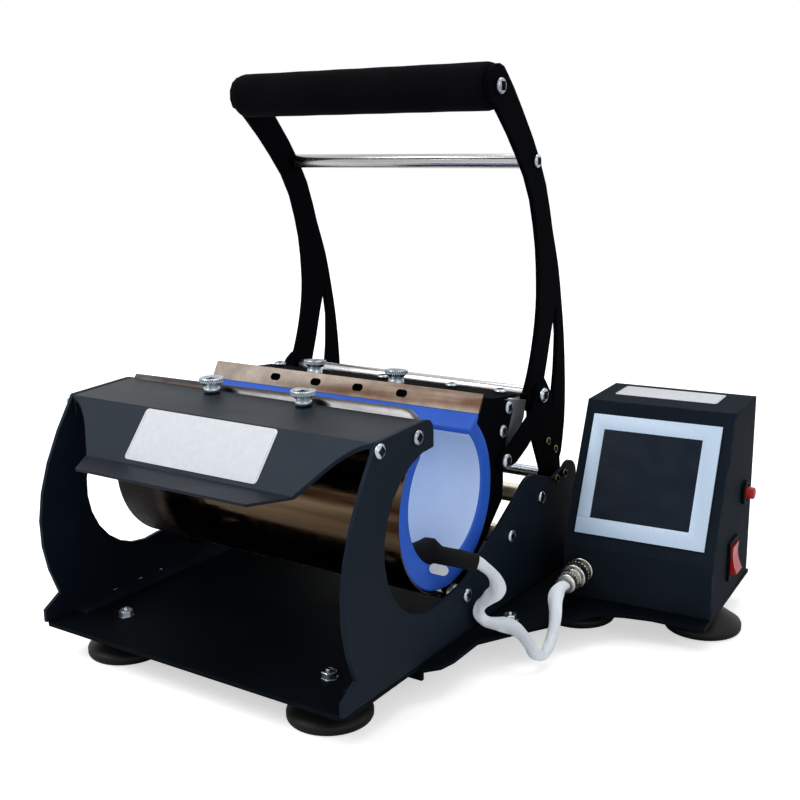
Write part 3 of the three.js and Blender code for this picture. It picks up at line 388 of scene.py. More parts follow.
def turned_up(name, stations, sides=40):
    """A turned piece on the Z axis: a disc is extruded and scaled from station to station."""
    radius, height = stations[0]
    piece = start_with(bpy.ops.mesh.primitive_circle_add, name, vertices=sides, radius=radius,
                       location=(0, 0, height), fill_type="NGON")
    choose(piece, "FACE", everything)
    for next_radius, next_height in stations[1:]:
        bpy.ops.mesh.extrude_region_move(
            TRANSFORM_OT_translate={"value": (0, 0, next_height - height)})
        share = next_radius / radius
        bpy.ops.transform.resize(value=(share, share, 1), center_override=(0, 0, next_height))
        radius, height = next_radius, next_height
    end_edit(outward=True)
    return piece


def apply_modifier(piece, kind, **settings):
    """Lets a modifier shape a piece for good."""
    modifier = piece.modifiers.new(kind, kind)
    for name, value in settings.items():
        setattr(modifier, name, value)
    hold(piece)
    bpy.ops.object.modifier_apply(modifier=modifier.name)


def soften(piece, width, segments=2, angle=30):
    """Rounds the sharp edges a little and smooths what is left."""
    apply_modifier(piece, "BEVEL", width=width, segments=segments, limit_method="ANGLE",
                   angle_limit=math.radians(angle))
    bpy.ops.object.shade_smooth_by_angle(angle=math.radians(angle))


def seat(piece, turn, spot):
    """Turns a finished piece and sets it down, with its place kept in its mesh."""
    piece.data.transform(Matrix.Translation(spot) @ turn.to_4x4())
    piece.data.update()
    return piece


def facing(way):
    """The turn that points a piece's Z axis along a direction."""
    way = Vector(way).normalized()
    side = Vector((0, 0, 1)).cross(way)
    side = (Vector((1, 0, 0)) if side.length < 1e-3 else side).normalized()
    return Matrix((side, way.cross(side), way)).transposed()


def knurl(piece, sides, low, high, least, depth):
    """Every other side face between two heights is pressed in, as a knurling wheel does."""
    def is_groove(face):
        middle = face.calc_center_median()
        turn = math.atan2(middle.y, middle.x) % math.tau
        return (low < middle.z < high and middle.xy.length > least
                and abs(face.normal.z) < 0.3 and int(turn / math.tau * sides) % 2 == 0)

    choose(piece, "FACE", is_groove)
    bpy.ops.mesh.inset(thickness=depth * 0.3, depth=-depth, use_individual=True)
    end_edit()


def noise_map(tree, vector, scale, detail, **more):
    """Cloudy noise between 0 and 1."""
    return add_node(tree, "TexNoise", {
        "Vector": vector, "Scale": scale, "Detail": detail, **more})[0]


# Edges of sheet and bar: where corners are rubbed, and how they round off in the light. On the
# control box the same lighter corners are a painted highlight along the folds.
edges, edges_in, edges_out = new_group(
    "rubbed_and_highlit_edges",
    [("Radius", "Float", 0.0006), ("Patchiness", "Float", 60.0)],
    [("Rubbed", "Float"), ("Normal", "Vector")],
)
edge_bevel = add_node(edges, "Bevel", {"Radius": edges_in["Radius"]}, samples=6)[0]
edge_turn = add_node(edges, "VectorMath", {
    0: edge_bevel, 1: add_node(edges, "NewGeometry")["Normal"]}, operation="DOT_PRODUCT")["Value"]
edge_spots = noise_map(
    edges, add_node(edges, "TexCoord")["Object"], edges_in["Patchiness"], 4.0)
set_inputs(edges, edges_out, {
    "Rubbed": calc(edges, "MULTIPLY", carry_over(edges, edge_turn, 1.0, 0.8),
                   carry_over(edges, edge_spots, 0.42, 0.66)),
    "Normal": edge_bevel})

# Rolled and rubbed metal: long fine lines one way, and clouds of handling marks. The colour
# streaks stretched one way are tone and a painted blurred reflection.
rolled, rolled_in, rolled_out = new_group(
    "rolled_metal",
    [("Vector", "Vector"), ("Bright", "Color"), ("Dull", "Color"), ("Roughness", "Float", 0.2),
     ("Streaks", "Float", 1.0)],
    [("Color", "Color"), ("Roughness", "Float"), ("Height", "Float")],
)
rolled_lines, rolled_cloud = (
    noise_map(rolled, add_node(rolled, "Mapping", {
        "Vector": rolled_in["Vector"], "Scale": scale})[0], 1.0, detail, Distortion=bend)
    for scale, detail, bend in (((6, 900, 900), 3.0, 0.0), ((3, 45, 45), 5.0, 0.6)))
rolled_marks = noise_map(rolled, rolled_in["Vector"], 55.0, 6.0, Roughness=0.65)
streak_tone_and_reflection = calc(rolled, "MULTIPLY", carry_over(rolled, rolled_cloud, 0.36, 0.62),
                   rolled_in["Streaks"])
set_inputs(rolled, rolled_out, {
    "Color": mixed(rolled, streak_tone_and_reflection, rolled_in["Bright"], rolled_in["Dull"]),
    "Roughness": calc(rolled, "ADD", carry_over(rolled, rolled_marks, 0.35, 0.7, -0.05, 0.12),
                      rolled_in["Roughness"]),
    "Height": rolled_lines})


def metal(name, bright, dull, roughness, streaks=1.0):
    """A bare or plated metal: streaks of tone and painted reflection, fine lines, eased edges."""
    material, tree, shader = new_material(name, Metallic=1.0)
    corner = add_node(tree, "Group", {"Radius": 0.0003}, node_tree=edges)
    lay_look(tree, shader, add_node(tree, "Group", {
        "Vector": add_node(tree, "TexCoord")["Object"], "Bright": bright, "Dull": dull,
        "Roughness": roughness, "Streaks": streaks,
    }, node_tree=rolled), 0.35, 0.00002, Normal=corner["Normal"])
    return material


def finish(material, *pieces, marked=None):
    """Gives pieces, or CAD nodes by name, a material, and their marked faces a second one."""
    for piece in pieces:
        mesh = (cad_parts[piece] if isinstance(piece, str) else piece).data
        faces = [face.index for face in mesh.polygons if face.material_index]
        mesh.materials.clear()
        mesh.materials.append(material)
        if marked:
            mesh.materials.append(marked)
            for index in faces:
                mesh.polygons[index].material_index = 1


box_turn = math.radians(4.13)
box_corner = place(165.81, 262.98, 0)
box_side = Vector((math.cos(box_turn), math.sin(box_turn), 0))
box_front = Vector((math.sin(box_turn), -math.cos(box_turn), 0))


def in_box(x, y, z):
    """A point of the control box, in millimetres from its own front left corner."""
    return box_corner + (box_side * x - box_front * y + Vector((0, 0, z))) / 1000


socket_spot = in_box(14.5, 0, 22)
connector = turned_up("nickel_connector", [
    (0.0092, 0.0086), (0.0105, 0.0092), (0.0105, 0.0178), (0.0098, 0.0186), (0.0072, 0.0186),
    (0.0066, 0.0192), (0.0066, 0.0262), (0.0078, 0.0266), (0.0082, 0.0272), (0.0082, 0.0332),
    (0.0074, 0.0344), (0.0056, 0.0346), (0.005, 0.034),
], 48)
knurl(connector, 48, 0.0095, 0.0176, 0.010, 0.0005)
knurl(connector, 48, 0.0275, 0.033, 0.0078, 0.0005)
soften(connector, 0.00025)
seat(connector, facing(box_front), socket_spot)
nickel = metal("nickel_plate", srgb(206, 204, 198), srgb(150, 148, 142), 0.2, 0.8)
finish(nickel, connector)
cover("cable_connector", connector, "press_frame")

# Panel socket: its nickel flange stands on the cover, with a washer, and the threaded nose
# goes into the coupling ring.
socket = turned_up("nickel_panel_socket", [
    (0.0078, -0.0098), (0.0078, 0.0003), (0.0098, 0.0003), (0.0105, 0.0008), (0.0105, 0.0018),
    (0.0098, 0.0023), (0.0068, 0.0023), (0.0065, 0.003), (0.0065, 0.0082),
], 48)
soften(socket, 0.0002)
seat(socket, facing(box_front), socket_spot)
finish(nickel, socket)
cover("panel_socket", socket, "press_frame")

# Heating mat: blue silicone with the windings inside, about 15 mm thick at the bottom and
# thinner at its two clamped ends, with a pale liner bonded on the bore.
drum = place(0, 141, 105)


def around_drum(angle, radius):
    """A point at an angle in degrees and a distance from the drum's axis."""
    angle = math.radians(angle)
    return drum + Vector((0, math.cos(angle), math.sin(angle))) * radius


def rolled_round(name, start, end, inner, outer, half, steps):
    """A sheet or mat rolled round the drum's axis, from one angle to another."""
    piece = start_with(
        bpy.ops.mesh.primitive_plane_add, name, (half * 2, outer - inner, 1), size=1,
        location=around_drum(start, (inner + outer) / 2), rotation=(math.radians(start), 0, 0))
    choose(piece, "FACE", everything)
    bpy.ops.mesh.spin(steps=steps, angle=math.radians(start - end), center=drum, axis=(1, 0, 0))
    end_edit(outward=True)
    return piece


def push(piece, way, test):
    """Moves the vertices that pass the test."""
    choose(piece, "VERT", test)
    bpy.ops.transform.translate(value=way)
    end_edit()


# Silicone, rubber, foam and plastic: fine cells under a skin that is soiled in clouds
skin, skin_in, skin_out = new_group(
    "soft_skin",
    [("Vector", "Vector"), ("Main", "Color"), ("Soiled", "Color"), ("Cells", "Float", 900.0)],
    [("Color", "Color"), ("Height", "Float")],
)
skin_soil = carry_over(skin, noise_map(skin, skin_in["Vector"], 30.0, 6.0), 0.4, 0.75, 0, 0.5)
set_inputs(skin, skin_out, {
    "Color": mixed(skin, skin_soil, skin_in["Main"], skin_in["Soiled"]),
    "Height": add_node(skin, "TexVoronoi", {
        "Vector": skin_in["Vector"], "Scale": skin_in["Cells"]})["Distance"]})


def soft(name, main, soiled, roughness, cells, depth, shine=0.35):
    """Rubber, silicone or foam with a cellular or matt skin."""
    material, tree, shader = new_material(name, Roughness=roughness, Specular_IOR_Level=shine)
    lay_look(tree, shader, add_node(tree, "Group", {
        "Vector": add_node(tree, "TexCoord")["Object"], "Main": main, "Soiled": soiled,
        "Cells": cells}, node_tree=skin), 0.4, depth)
    return material


mat_radius, mat_bore, bore_rise = 0.0648, 0.0502, Vector((0, 0, 0.004))
mat_half, mat_start, mat_end = 0.1308, 132, 408
mat = rolled_round("silicone_mat", mat_start, mat_end, mat_bore, mat_radius, mat_half, 60)
push(mat, bore_rise, lambda v: (v.co.yz - drum.yz).length < (mat_radius + mat_bore) / 2)
outer_end, inner_end = around_drum(mat_end, mat_radius), around_drum(mat_end, mat_bore) + bore_rise
end_middle = (outer_end.yz + inner_end.yz) / 2
choose(mat, "FACE", lambda f: abs(f.normal.x) < 0.1
       and (f.calc_center_median().yz - end_middle).length < 0.001)
bpy.ops.mesh.extrude_region_move()
end_edit()
extruded = len(mat.data.vertices) - 4
for end, tip in ((outer_end, place(0, 187.9, 160.6)), (inner_end, place(0, 174, 150.3))):
    push(mat, tip - end, lambda v: v.index >= extruded and (v.co.yz - end.yz).length < 0.001)
choose(mat, "FACE", everything)
end_edit(outward=True)
soften(mat, 0.0016, 3, 40)
for face in mat.data.polygons:
    from_axis = face.center.yz - (drum + bore_rise).yz
    face.material_index = int(abs(face.normal.x) < 0.2 and face.normal.yz.dot(from_axis) < 0
                              and from_axis.length < mat_bore + 0.0006)
finish(soft("blue_silicone", srgb(24, 84, 190), srgb(16, 60, 146), 0.55, 1400, 0.00004), mat,
       marked=soft("pale_liner", srgb(182, 204, 238), srgb(164, 186, 224), 0.6, 700, 0.00005))
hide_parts("heating_mat")
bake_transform(mat)

# Grip: a sleeve of closed-cell foam with rounded ends, pushed over a zinc plated tube that a
# screw at each end holds between the arms
grip_half, grip_radius = 0.1174, 0.0175
grip = turned_up("foam_grip", [
    (0.0105, -grip_half - 0.0052), (0.013, -grip_half - 0.0048), (0.0153, -grip_half - 0.0034),
    (0.0168, -grip_half - 0.0012), (grip_radius, -grip_half + 0.0022),
    *((grip_radius - 0.0002 * (step % 2), -0.1 + 0.02 * step) for step in range(11)),
    (grip_radius, grip_half - 0.0046), (0.0169, grip_half - 0.0018), (0.0156, grip_half - 0.0004),
    (0.0134, grip_half),
], 64)
soften(grip, 0.0004, angle=50)
along_press = facing((1, 0, 0))
seat(grip, along_press, place(0, 230, 393.5))
finish(soft("black_foam", srgb(5, 5, 8), srgb(12, 12, 16), 0.95, 650, 0.0003, 0.04), grip)
cover("grip_foam", grip, "handle")
zinc = metal("zinc_plate", srgb(186, 196, 204), srgb(126, 134, 142), 0.24, 0.7)
finish(zinc, "grip_tube")

# Drum shells: bright stainless sheet rolled round the mat, the front one fixed under the hood
# and the rear one between the jaw plates. Their brown colour and streaks are a painted
# reflection of brown surroundings.
shell_inner, shell_outer = 0.0658, 0.067
reflection_tinted_steel = metal("painted_reflection_stainless", srgb(98, 82, 64), srgb(46, 30, 19), 0.12)
front_shell = rolled_round("front_drum_shell", 133, 262, shell_inner, shell_outer, 0.133, 48)
rear_shell = rolled_round("rear_drum_shell", -70, 44, shell_inner, shell_outer, 0.1244, 44)
soften(front_shell, 0.0003, angle=40)
soften(rear_shell, 0.0003, angle=40)
finish(reflection_tinted_steel, rear_shell)

# The front shell's left end, far in the hood's shadow, has a painted shade: towards its end the
# colour turns dark, the metal gives way and the finish grows duller
shade_painted_steel = reflection_tinted_steel.copy()
shade_painted_steel.name = "shade_painted_stainless"
shade_painted_tree = shade_painted_steel.node_tree
shade_painted_shader = shade_painted_tree.nodes["Principled BSDF"].inputs
unshaded_colour, unshaded_roughness = (
    shade_painted_shader[label].links[0].from_socket for label in ("Base Color", "Roughness"))
along_shell = add_node(shade_painted_tree, "SeparateXYZ", {
    0: add_node(shade_painted_tree, "TexCoord")["Object"]})["X"]
painted_shade_share = carry_over(shade_painted_tree, along_shell, place(-80, 0, 0).x, place(-98, 0, 0).x)
set_inputs(shade_painted_tree, shade_painted_shader, {
    "Specular IOR Level": 0.06,
    "Base Color": mixed(shade_painted_tree, painted_shade_share, unshaded_colour, srgb(20, 14, 12)),
    "Metallic": calc(shade_painted_tree, "SUBTRACT", 1.0, painted_shade_share),
    "Roughness": calc(shade_painted_tree, "ADD", calc(shade_painted_tree, "MULTIPLY", painted_shade_share, 0.4), unshaded_roughness),
})
finish(shade_painted_steel, front_shell)
cover("front_shell", front_shell, "press_frame")
cover("rear_shell", rear_shell, "rear_jaw")

# Rear clamp strip and jaw brackets: the strip is stainless sheet that grips the mat's end,
# curved back, with four slots. The brackets are flat plates behind the jaw plates.
finish(metal("clamp_stainless", srgb(92, 85, 79), srgb(52, 38, 29), 0.24), "rear_clamp_strip")


def pressed_plate(name, outline, turn, corner, thickness):
    """A flat plate from an outline of its own plane, with eased edges."""
    flat = bpy.data.meshes.new(name)
    flat.from_pydata([(x / 1000, y / 1000, 0) for x, y in outline], [], [range(len(outline))])
    piece = new_piece(name, flat)
    choose(piece, "FACE", everything)
    bpy.ops.mesh.extrude_region_move(TRANSFORM_OT_translate={"value": (0, 0, thickness / 1000)})
    end_edit(outward=True)
    soften(piece, 0.0003)
    return seat(piece, turn, corner)


bracket_stainless = metal("bracket_stainless", srgb(128, 136, 142), srgb(104, 108, 108), 0.4, 0.8)
side_view = Matrix(((0, 0, 1), (1, 0, 0), (0, 1, 0)))
bracket_outline = ((226, 160.3), (222, 128), (224, 113), (236, 112.5), (250, 118), (263, 127),
                   (271.5, 138.5), (275.1, 152), (246, 158.5))
for side, face_x in (("left", -124.4), ("right", 122.4)):
    bracket = pressed_plate(f"bracket_{side}_stainless", bracket_outline, side_view,
                            place(face_x, 0, 0), 2)
    finish(bracket_stainless, bracket)
    cover(f"jaw_bracket_{side}", bracket, "rear_jaw")

# Front clamp strip: stainless sheet under the hood. Its rear edge is turned up against the
# mat, higher towards the right, where its corner is rounded and bent down.
strip_half, strip_steps, strip_rows = 133, 38, []
for step in range(strip_steps + 1):
    share = step / strip_steps
    lift = 2.8 * share - 5 * max(0.0, (share - 0.95) / 0.05) ** 2
    strip_rows.append([
        place(strip_half * (2 * share - 1), y, z) for y, z in (
            (62, 169.7), (96, 169.7), (98.6, 171.6), (100.4 + lift / 3, 174.2 + lift / 2),
            (102.6 + lift / 2, 177.2 + lift), (101.4 + lift / 2, 177.8 + lift),
            (98.9 + lift / 3, 175 + lift / 2), (97.4, 172.8), (95.6, 171.2), (62, 171.2))])
ring = len(strip_rows[0])
strip_faces = [
    (row + i, row + (i + 1) % ring, row + ring + (i + 1) % ring, row + ring + i)
    for row in range(0, strip_steps * ring, ring) for i in range(ring)]
strip_faces += [tuple(range(ring))[::-1], tuple(strip_steps * ring + i for i in range(ring))]
strip_mesh = bpy.data.meshes.new("front_strip_turned_up")
strip_mesh.from_pydata([point for row in strip_rows for point in row], [], strip_faces)
front_strip = new_piece("front_strip_turned_up", strip_mesh)
choose(front_strip, "FACE", everything)
end_edit(outward=True)
soften(front_strip, 0.0002, 1, 45)
finish(metal("front_strip_stainless", srgb(104, 104, 106), srgb(52, 46, 42), 0.22), front_strip)
cover("front_clamp_strip", front_strip, "press_frame")

# Painted sheet: base, side frames, jaw plates, arms, links and box are folded and cut steel
# with a black powder coat, fine grained, a little rubbed at the corners and dusty. On the box
# the lighter corners are also a painted highlight along the folds.
coat, coat_in, coat_out = new_group(
    "powder_coat",
    [("Vector", "Vector"), ("Paint", "Color"), ("Dust", "Color"),
     ("Roughness", "Float", 0.42), ("Rubbed", "Float", 0.0)],
    [("Color", "Color"), ("Roughness", "Float"), ("Height", "Float")],
)
coat_cloud = noise_map(coat, coat_in["Vector"], 14.0, 5.0, Roughness=0.6)
coat_specks = noise_map(coat, coat_in["Vector"], 420.0, 2.0)
coat_dust_and_highlight = calc(coat, "ADD", carry_over(coat, coat_cloud, 0.4, 0.75, 0, 0.06),
                 carry_over(coat, coat_specks, 0.68, 0.8, 0, 0.12))
coat_dust_and_highlight = calc(coat, "ADD", coat_dust_and_highlight, carry_over(coat, coat_in["Rubbed"], 0, 1, 0, 0.4),
                 use_clamp=True)
set_inputs(coat, coat_out, {
    "Color": mixed(coat, coat_dust_and_highlight, coat_in["Paint"], coat_in["Dust"]),
    "Roughness": calc(coat, "ADD", carry_over(coat, coat_cloud, 0.3, 0.7, -0.05, 0.08),
                      coat_in["Roughness"]),
    "Height": noise_map(coat, coat_in["Vector"], 1500.0, 2.0)})


def paint(name, colour, dust, roughness, shine, radius=0.0007):
    """A powder coat of one colour, with its grain, dust and corners lightened in the dust colour.
    """
    material, tree, shader = new_material(
        name, Specular_IOR_Level=shine, Specular_Tint=(0.6, 0.8, 1.0, 1))
    corner = add_node(tree, "Group", {"Radius": radius}, node_tree=edges)
    lay_look(tree, shader, add_node(tree, "Group", {
        "Vector": add_node(tree, "TexCoord")["Object"], "Paint": colour, "Dust": dust,
        "Roughness": roughness, "Rubbed": corner["Rubbed"],
    }, node_tree=coat), 0.3, 0.00005, Normal=corner["Normal"])
    return material


top_flange = pressed_plate(
    "top_plate_flange", ((-126, 0), (126, 0), (126, 11), (-126, 11)),
    Matrix.Rotation(math.radians(60), 3, "X"), place(0, 191.2, 159.3), 1.5)
carry(top_flange, "rear_jaw")
finish(paint("black_powder_coat", srgb(13, 21, 31), srgb(42, 52, 68), 0.52, 0.1),
       "side_frame_left", "side_frame_right")
finish(paint("matt_powder_coat", srgb(4, 7, 10), srgb(38, 46, 60), 0.6, 0.04),
       "base_plate", "carrier_plate")
finish(paint("satin_black_coat", srgb(3, 3, 5), srgb(30, 34, 42), 0.82, 0.02),
       "jaw_plate_left", "jaw_plate_right", "rear_top_plate", "arm_left", "arm_right",
       "crank_plate_left", "crank_plate_right", "link_left", "link_right", top_flange)
finish(paint("grey_black_powder_coat", srgb(17, 22, 30), srgb(78, 88, 102), 0.44, 0.14),
       "front_hood")


# Screws and rivets: pan heads of zinc plated steel, the small ones pale brass, with a pressed
# cross recess given a painted shade. Each is turned a little differently, as it was driven in.
def cross_recess(piece, reach, width, top, depth):
    """Presses a cross into the top of a head, narrower towards its bottom."""
    cutter = start_with(bpy.ops.mesh.primitive_cube_add, "recess_cutter",
                        (width, width, depth * 2), size=1, location=(0, 0, top))
    for way in (Vector((1, 0, 0)), Vector((-1, 0, 0)), Vector((0, 1, 0)), Vector((0, -1, 0))):
        choose(cutter, "FACE", lambda f: f.normal.dot(way) > 0.9
               and abs(f.calc_center_median().dot(way) - width / 2) < 1e-5)
        bpy.ops.mesh.extrude_region_move(
            TRANSFORM_OT_translate={"value": way * (reach - width / 2)})
        end_edit()
    choose(cutter, "VERT", lambda v: v.co.z < top)
    bpy.ops.transform.resize(value=(0.6, 0.6, 1), center_override=(0, 0, top - depth))
    end_edit()
    apply_modifier(piece, "BOOLEAN", operation="DIFFERENCE", object=cutter, solver="EXACT")
    bpy.data.objects.remove(cutter)
    # The recess's walls and floor take the second slot, a darker metal that paints the recess's
    # shade
    for face in piece.data.polygons:
        spot = face.center
        if spot.xy.length < reach * 1.02 and spot.z > top - depth * 1.1 and (
                abs(face.normal.z) < 0.6 or spot.z < top - depth * 0.8):
            face.material_index = 1


def pan_head(name, radius, height, shank=(), sides=32):
    """A screw: shank if it shows, washer face, domed head and cross recess."""
    head = turned_up(name, [
        *shank, (radius * 0.97, 0), (radius, height * 0.12), (radius, height * 0.42),
        (radius * 0.93, height * 0.68), (radius * 0.78, height * 0.87),
        (radius * 0.56, height * 0.97), (radius * 0.3, height),
    ], sides)
    cross_recess(head, radius * 0.7, radius * 0.2, height, height * 0.5)
    hold(head)
    bpy.ops.object.shade_smooth_by_angle(angle=math.radians(32))
    return head


def another(master, name, turn, spot):
    """A copy with its own mesh, at its own place."""
    mesh = master.data.copy()
    mesh.name = name
    return seat(new_piece(name, mesh), turn, spot)


brass = metal("brass_plate", srgb(132, 118, 76), srgb(84, 70, 40), 0.3, 0.7)
# A darker metal, a painted shade for the walls and floor of the cross recesses
recess_shade = metal("dark_recess", srgb(38, 40, 44), srgb(20, 20, 22), 0.5, 0.8)
frame_head = pan_head("pan_head_frame", 0.0052, 0.0026)
small_head = pan_head("pan_head_small", 0.0034, 0.0018, sides=24)
rivet_head = pan_head("pan_head_rivet", 0.0022, 0.0013, sides=20)
outward = {"left": -1, "right": 1}
frame_face, jaw_face, arm_face, crank_face, frame_inside = 140.05, 126.75, 122.05, 125.35, 136.95
upright = Matrix.Identity(3)
for i, x in enumerate((-112, -67, 0, 67, 112)):
    screw = another(frame_head, f"top_plate_screw_{i}", upright, place(x, 255, 161))
    finish(zinc, screw, marked=recess_shade)
    carry(screw, "rear_jaw")
for i, (y, z) in enumerate(((67.4, 5), (94.8, 5), (117.8, 5), (150, 43), (162, 37))):
    rivet = another(rivet_head, f"inner_wall_rivet_{i}", along_press, place(-frame_inside, y, z))
    finish(zinc, rivet, marked=recess_shade)
    carry(rivet, "press_frame")
for side, sign in outward.items():
    for name, master, x, body, spots in (
        ("hood_screw_{}_{}", frame_head, frame_face, "press_frame",
         ((42.9, 166.5), (87.3, 165.4))),
        ("cross_tube_screw_{}_{}", frame_head, frame_face, "press_frame",
         ((152.6, 31.5), (220.9, 55.9), (272.4, 73.3))),
        ("bracket_screw_{}_{}", frame_head, jaw_face, "rear_jaw", ((239.4, 153), (230.1, 136.1))),
        ("handle_rod_screw_{}", frame_head, arm_face, "handle", ((292, 339),)),
        ("crank_screw_{}_{}", small_head, crank_face, "handle", ((313.7, 108.9), (328, 98.9))),
        ("gusset_screw_{}_{}", small_head, frame_face, "press_frame",
         ((301.6, 81.8), (316.3, 82.8))),
    ):
        for i, (y, z) in enumerate(spots):
            driven = Matrix.Rotation(y * 1.7, 3, "X") @ facing((sign, 0, 0))
            screw = another(master, name.format(side, i), driven, place(sign * x, y, z))
            finish(brass if master is small_head else zinc, screw, marked=recess_shade)
            carry(screw, body)

# Pivot and grip screws: zinc plated steel of the same pattern, larger, with their shanks
# through the side plates, where the arms, the links and the grip hang on them
for pair, x, y, z, body, shank in (
    ("apex_screw", 130.7, 291.5, 153.4, "handle", 0.0127),
    ("grip_screw", 122.3, 230, 393.5, "handle", 0.0043),
    ("link_pin", 130.7, 228.5, 113.2, "toggle_links", 0.0037),
):
    pivot_head = pan_head(f"{pair}_master", 0.006, 0.0036, ((0.004, -shank), (0.004, 0)))
    for side, sign in outward.items():
        screw = another(pivot_head, f"{pair}_{side}_plated", facing((sign, 0, 0)),
                        place(sign * x, y, z))
        finish(zinc, screw, marked=recess_shade)
        cover(f"{pair}_{side}", screw, body)
    bpy.data.objects.remove(pivot_head)
for master in (frame_head, small_head, rivet_head):
    bpy.data.objects.remove(master)

# Thumb screws: turned steel, zinc plated, with a knurled rim on a cone, a dished top and a
# cross recess, and a collar that presses on the sheet. The rear ones lean with their plate.
rear_lean = Matrix.Rotation(math.radians(-5), 3, "X")
rear_plate, on_rear_plate = (200.5, 163), rear_lean @ Vector((0, 12, 2.3))
for end, collar, shank, x, y, z, turn in (
    ("front", 0.0035, 0.012, 43, 91, 174.998, upright),
    ("rear", 0.0072, 0.008, 40.5, rear_plate[0] + on_rear_plate.y,
     rear_plate[1] + on_rear_plate.z, rear_lean),
):
    cone = collar + 0.001
    rim, top = cone + 0.003, cone + 0.0065
    thumb = turned_up(f"thumb_{end}_master", [
        (0.003, -shank), (0.003, 0), (0.0059, 0), (0.0063, 0.0004), (0.0063, collar - 0.0004),
        (0.0059, collar), (0.005, collar), (0.005, cone), (0.0086, rim), (0.0092, rim + 0.0003),
        (0.0092, top - 0.0007), (0.0086, top), (0.0066, top), (0.0058, top - 0.0007),
        (0.003, top - 0.0009),
    ], 64)
    knurl(thumb, 64, rim + 0.0003, top - 0.0006, 0.009, 0.0004)
    cross_recess(thumb, 0.0046, 0.0018, top - 0.0006, 0.0022)
    soften(thumb, 0.00015, 1, 50)
    for side, sign in outward.items():
        screw = another(thumb, f"thumb_{end}_{side}_knurled", turn, place(sign * x, y, z))
        finish(zinc, screw, marked=recess_shade)
        cover(f"thumb_screw_{end}_{side}", screw, f"thumb_screw_{end}_{side}")
    bpy.data.objects.remove(thumb)

# Nuts: flanged hexagon nuts of zinc plated steel on top of the base and of the carrier plate,
# screwed down on the studs of the rubber feet
nut = turned_up("foot_nut", [
    (0.0072, 0), (0.0072, 0.0008), (0.0056, 0.0012), (0.0056, 0.0054), (0.0048, 0.0060),
    (0.0034, 0.0060), (0.0032, 0.0048), (0.0024, 0.0048), (0.0022, 0.0072), (0.0014, 0.0076),
], 6)
soften(nut, 0.00025)
for i, (x, y, z) in enumerate((
    (-96, 40.5, 2.05), (98, 40.5, 2.05), (-96, 305, 2.05), (98, 305, 2.05), (155, 192, -0.25),
)):
    tightened = Matrix.Rotation(0.4 + i, 3, "Z")
    flange_nut = another(nut, f"flange_nut_{i}", tightened, place(x, y, z))
    finish(zinc, flange_nut)
    carry(flange_nut, "press_frame")
bpy.data.objects.remove(nut)

# Cross tubes, rods and shaft: drawn steel with faced ends, screwed between the plates. The
# tubes are cream yellow zinc plated, the carrying rod and the toggle rod are chromed.
cream = metal("cream_zinc", srgb(226, 220, 202), srgb(186, 176, 150), 0.34, 0.8)
chrome = metal("chrome_plate", srgb(206, 206, 208), srgb(150, 144, 142), 0.2, 0.7)
faced = 0.0005
for node, half, radius, y, z, body, slot, look in (
    ("spacer_tube_front", 0.1367, 0.0065, 152.6, 31.5, "press_frame", "cream_steel", cream),
    ("spacer_tube_middle", 0.1367, 0.0075, 220.9, 55.9, "press_frame", "cream_steel", cream),
    ("spacer_tube_rear", 0.1367, 0.0075, 272.4, 73.3, "press_frame", "cream_steel", cream),
    ("pivot_shaft", 0.1367, 0.005, 325, 76.5, "press_frame", "zinc", zinc),
    ("handle_rod", 0.1177, 0.0058, 292, 339, "handle", "chrome", chrome),
    ("apex_rod", 0.1177, 0.006, 291.5, 153.4, "handle", "chrome", chrome),
):
    rod = turned_up(f"{node}_turned", [
        (radius - faced, -half), (radius, faced - half), (radius, half - faced),
        (radius - faced, half)], 64)
    seat(rod, along_press, place(0, y, z))
    soften(rod, 0.0001, 1)
    finish(look, rod)
    cover(node, rod, body)

# Feet: moulded black rubber, a broad rim that rises in a hollow curve to a narrow neck, with
# a rounded edge on the floor. Four stand under the base and two under the carrier plate.
rubber = soft("black_rubber", srgb(8, 9, 11), srgb(18, 19, 22), 0.5, 1500, 0.00004, 0.22)
foot_mould = turned_up("foot_master", [
    (0.0262, 0), (0.0279, 0), (0.0292, 0.0005), (0.03, 0.002), (0.03, 0.0052), (0.0294, 0.0066),
    (0.0262, 0.0086), (0.0216, 0.0121), (0.0162, 0.0153), (0.0126, 0.0183), (0.0106, 0.0212),
    (0.01, 0.0238), (0.01, 0.0247),
], 64)
soften(foot_mould, 0.0002, 1, 40)
foot_bottom, neck_start = -25, 0.0235
for name, x, y, neck in (
    ("front_left", -96, 40.5, -0.0006), ("front_right", 98, 40.5, -0.0006),
    ("rear_left", -96, 305, -0.0006), ("rear_right", 98, 305, -0.0006),
    ("box_left", 170.5, 283, -0.0039), ("box_right", 264, 314, -0.0039),
):
    spot = place(x, y, foot_bottom)
    foot = another(foot_mould, f"foot_{name}_moulded", upright, spot)
    push(foot, (0, 0, neck), lambda v: v.co.z > spot.z + neck_start)
    finish(rubber, foot)
    cover(f"foot_{name}", foot, "press_frame")
bpy.data.objects.remove(foot_mould)

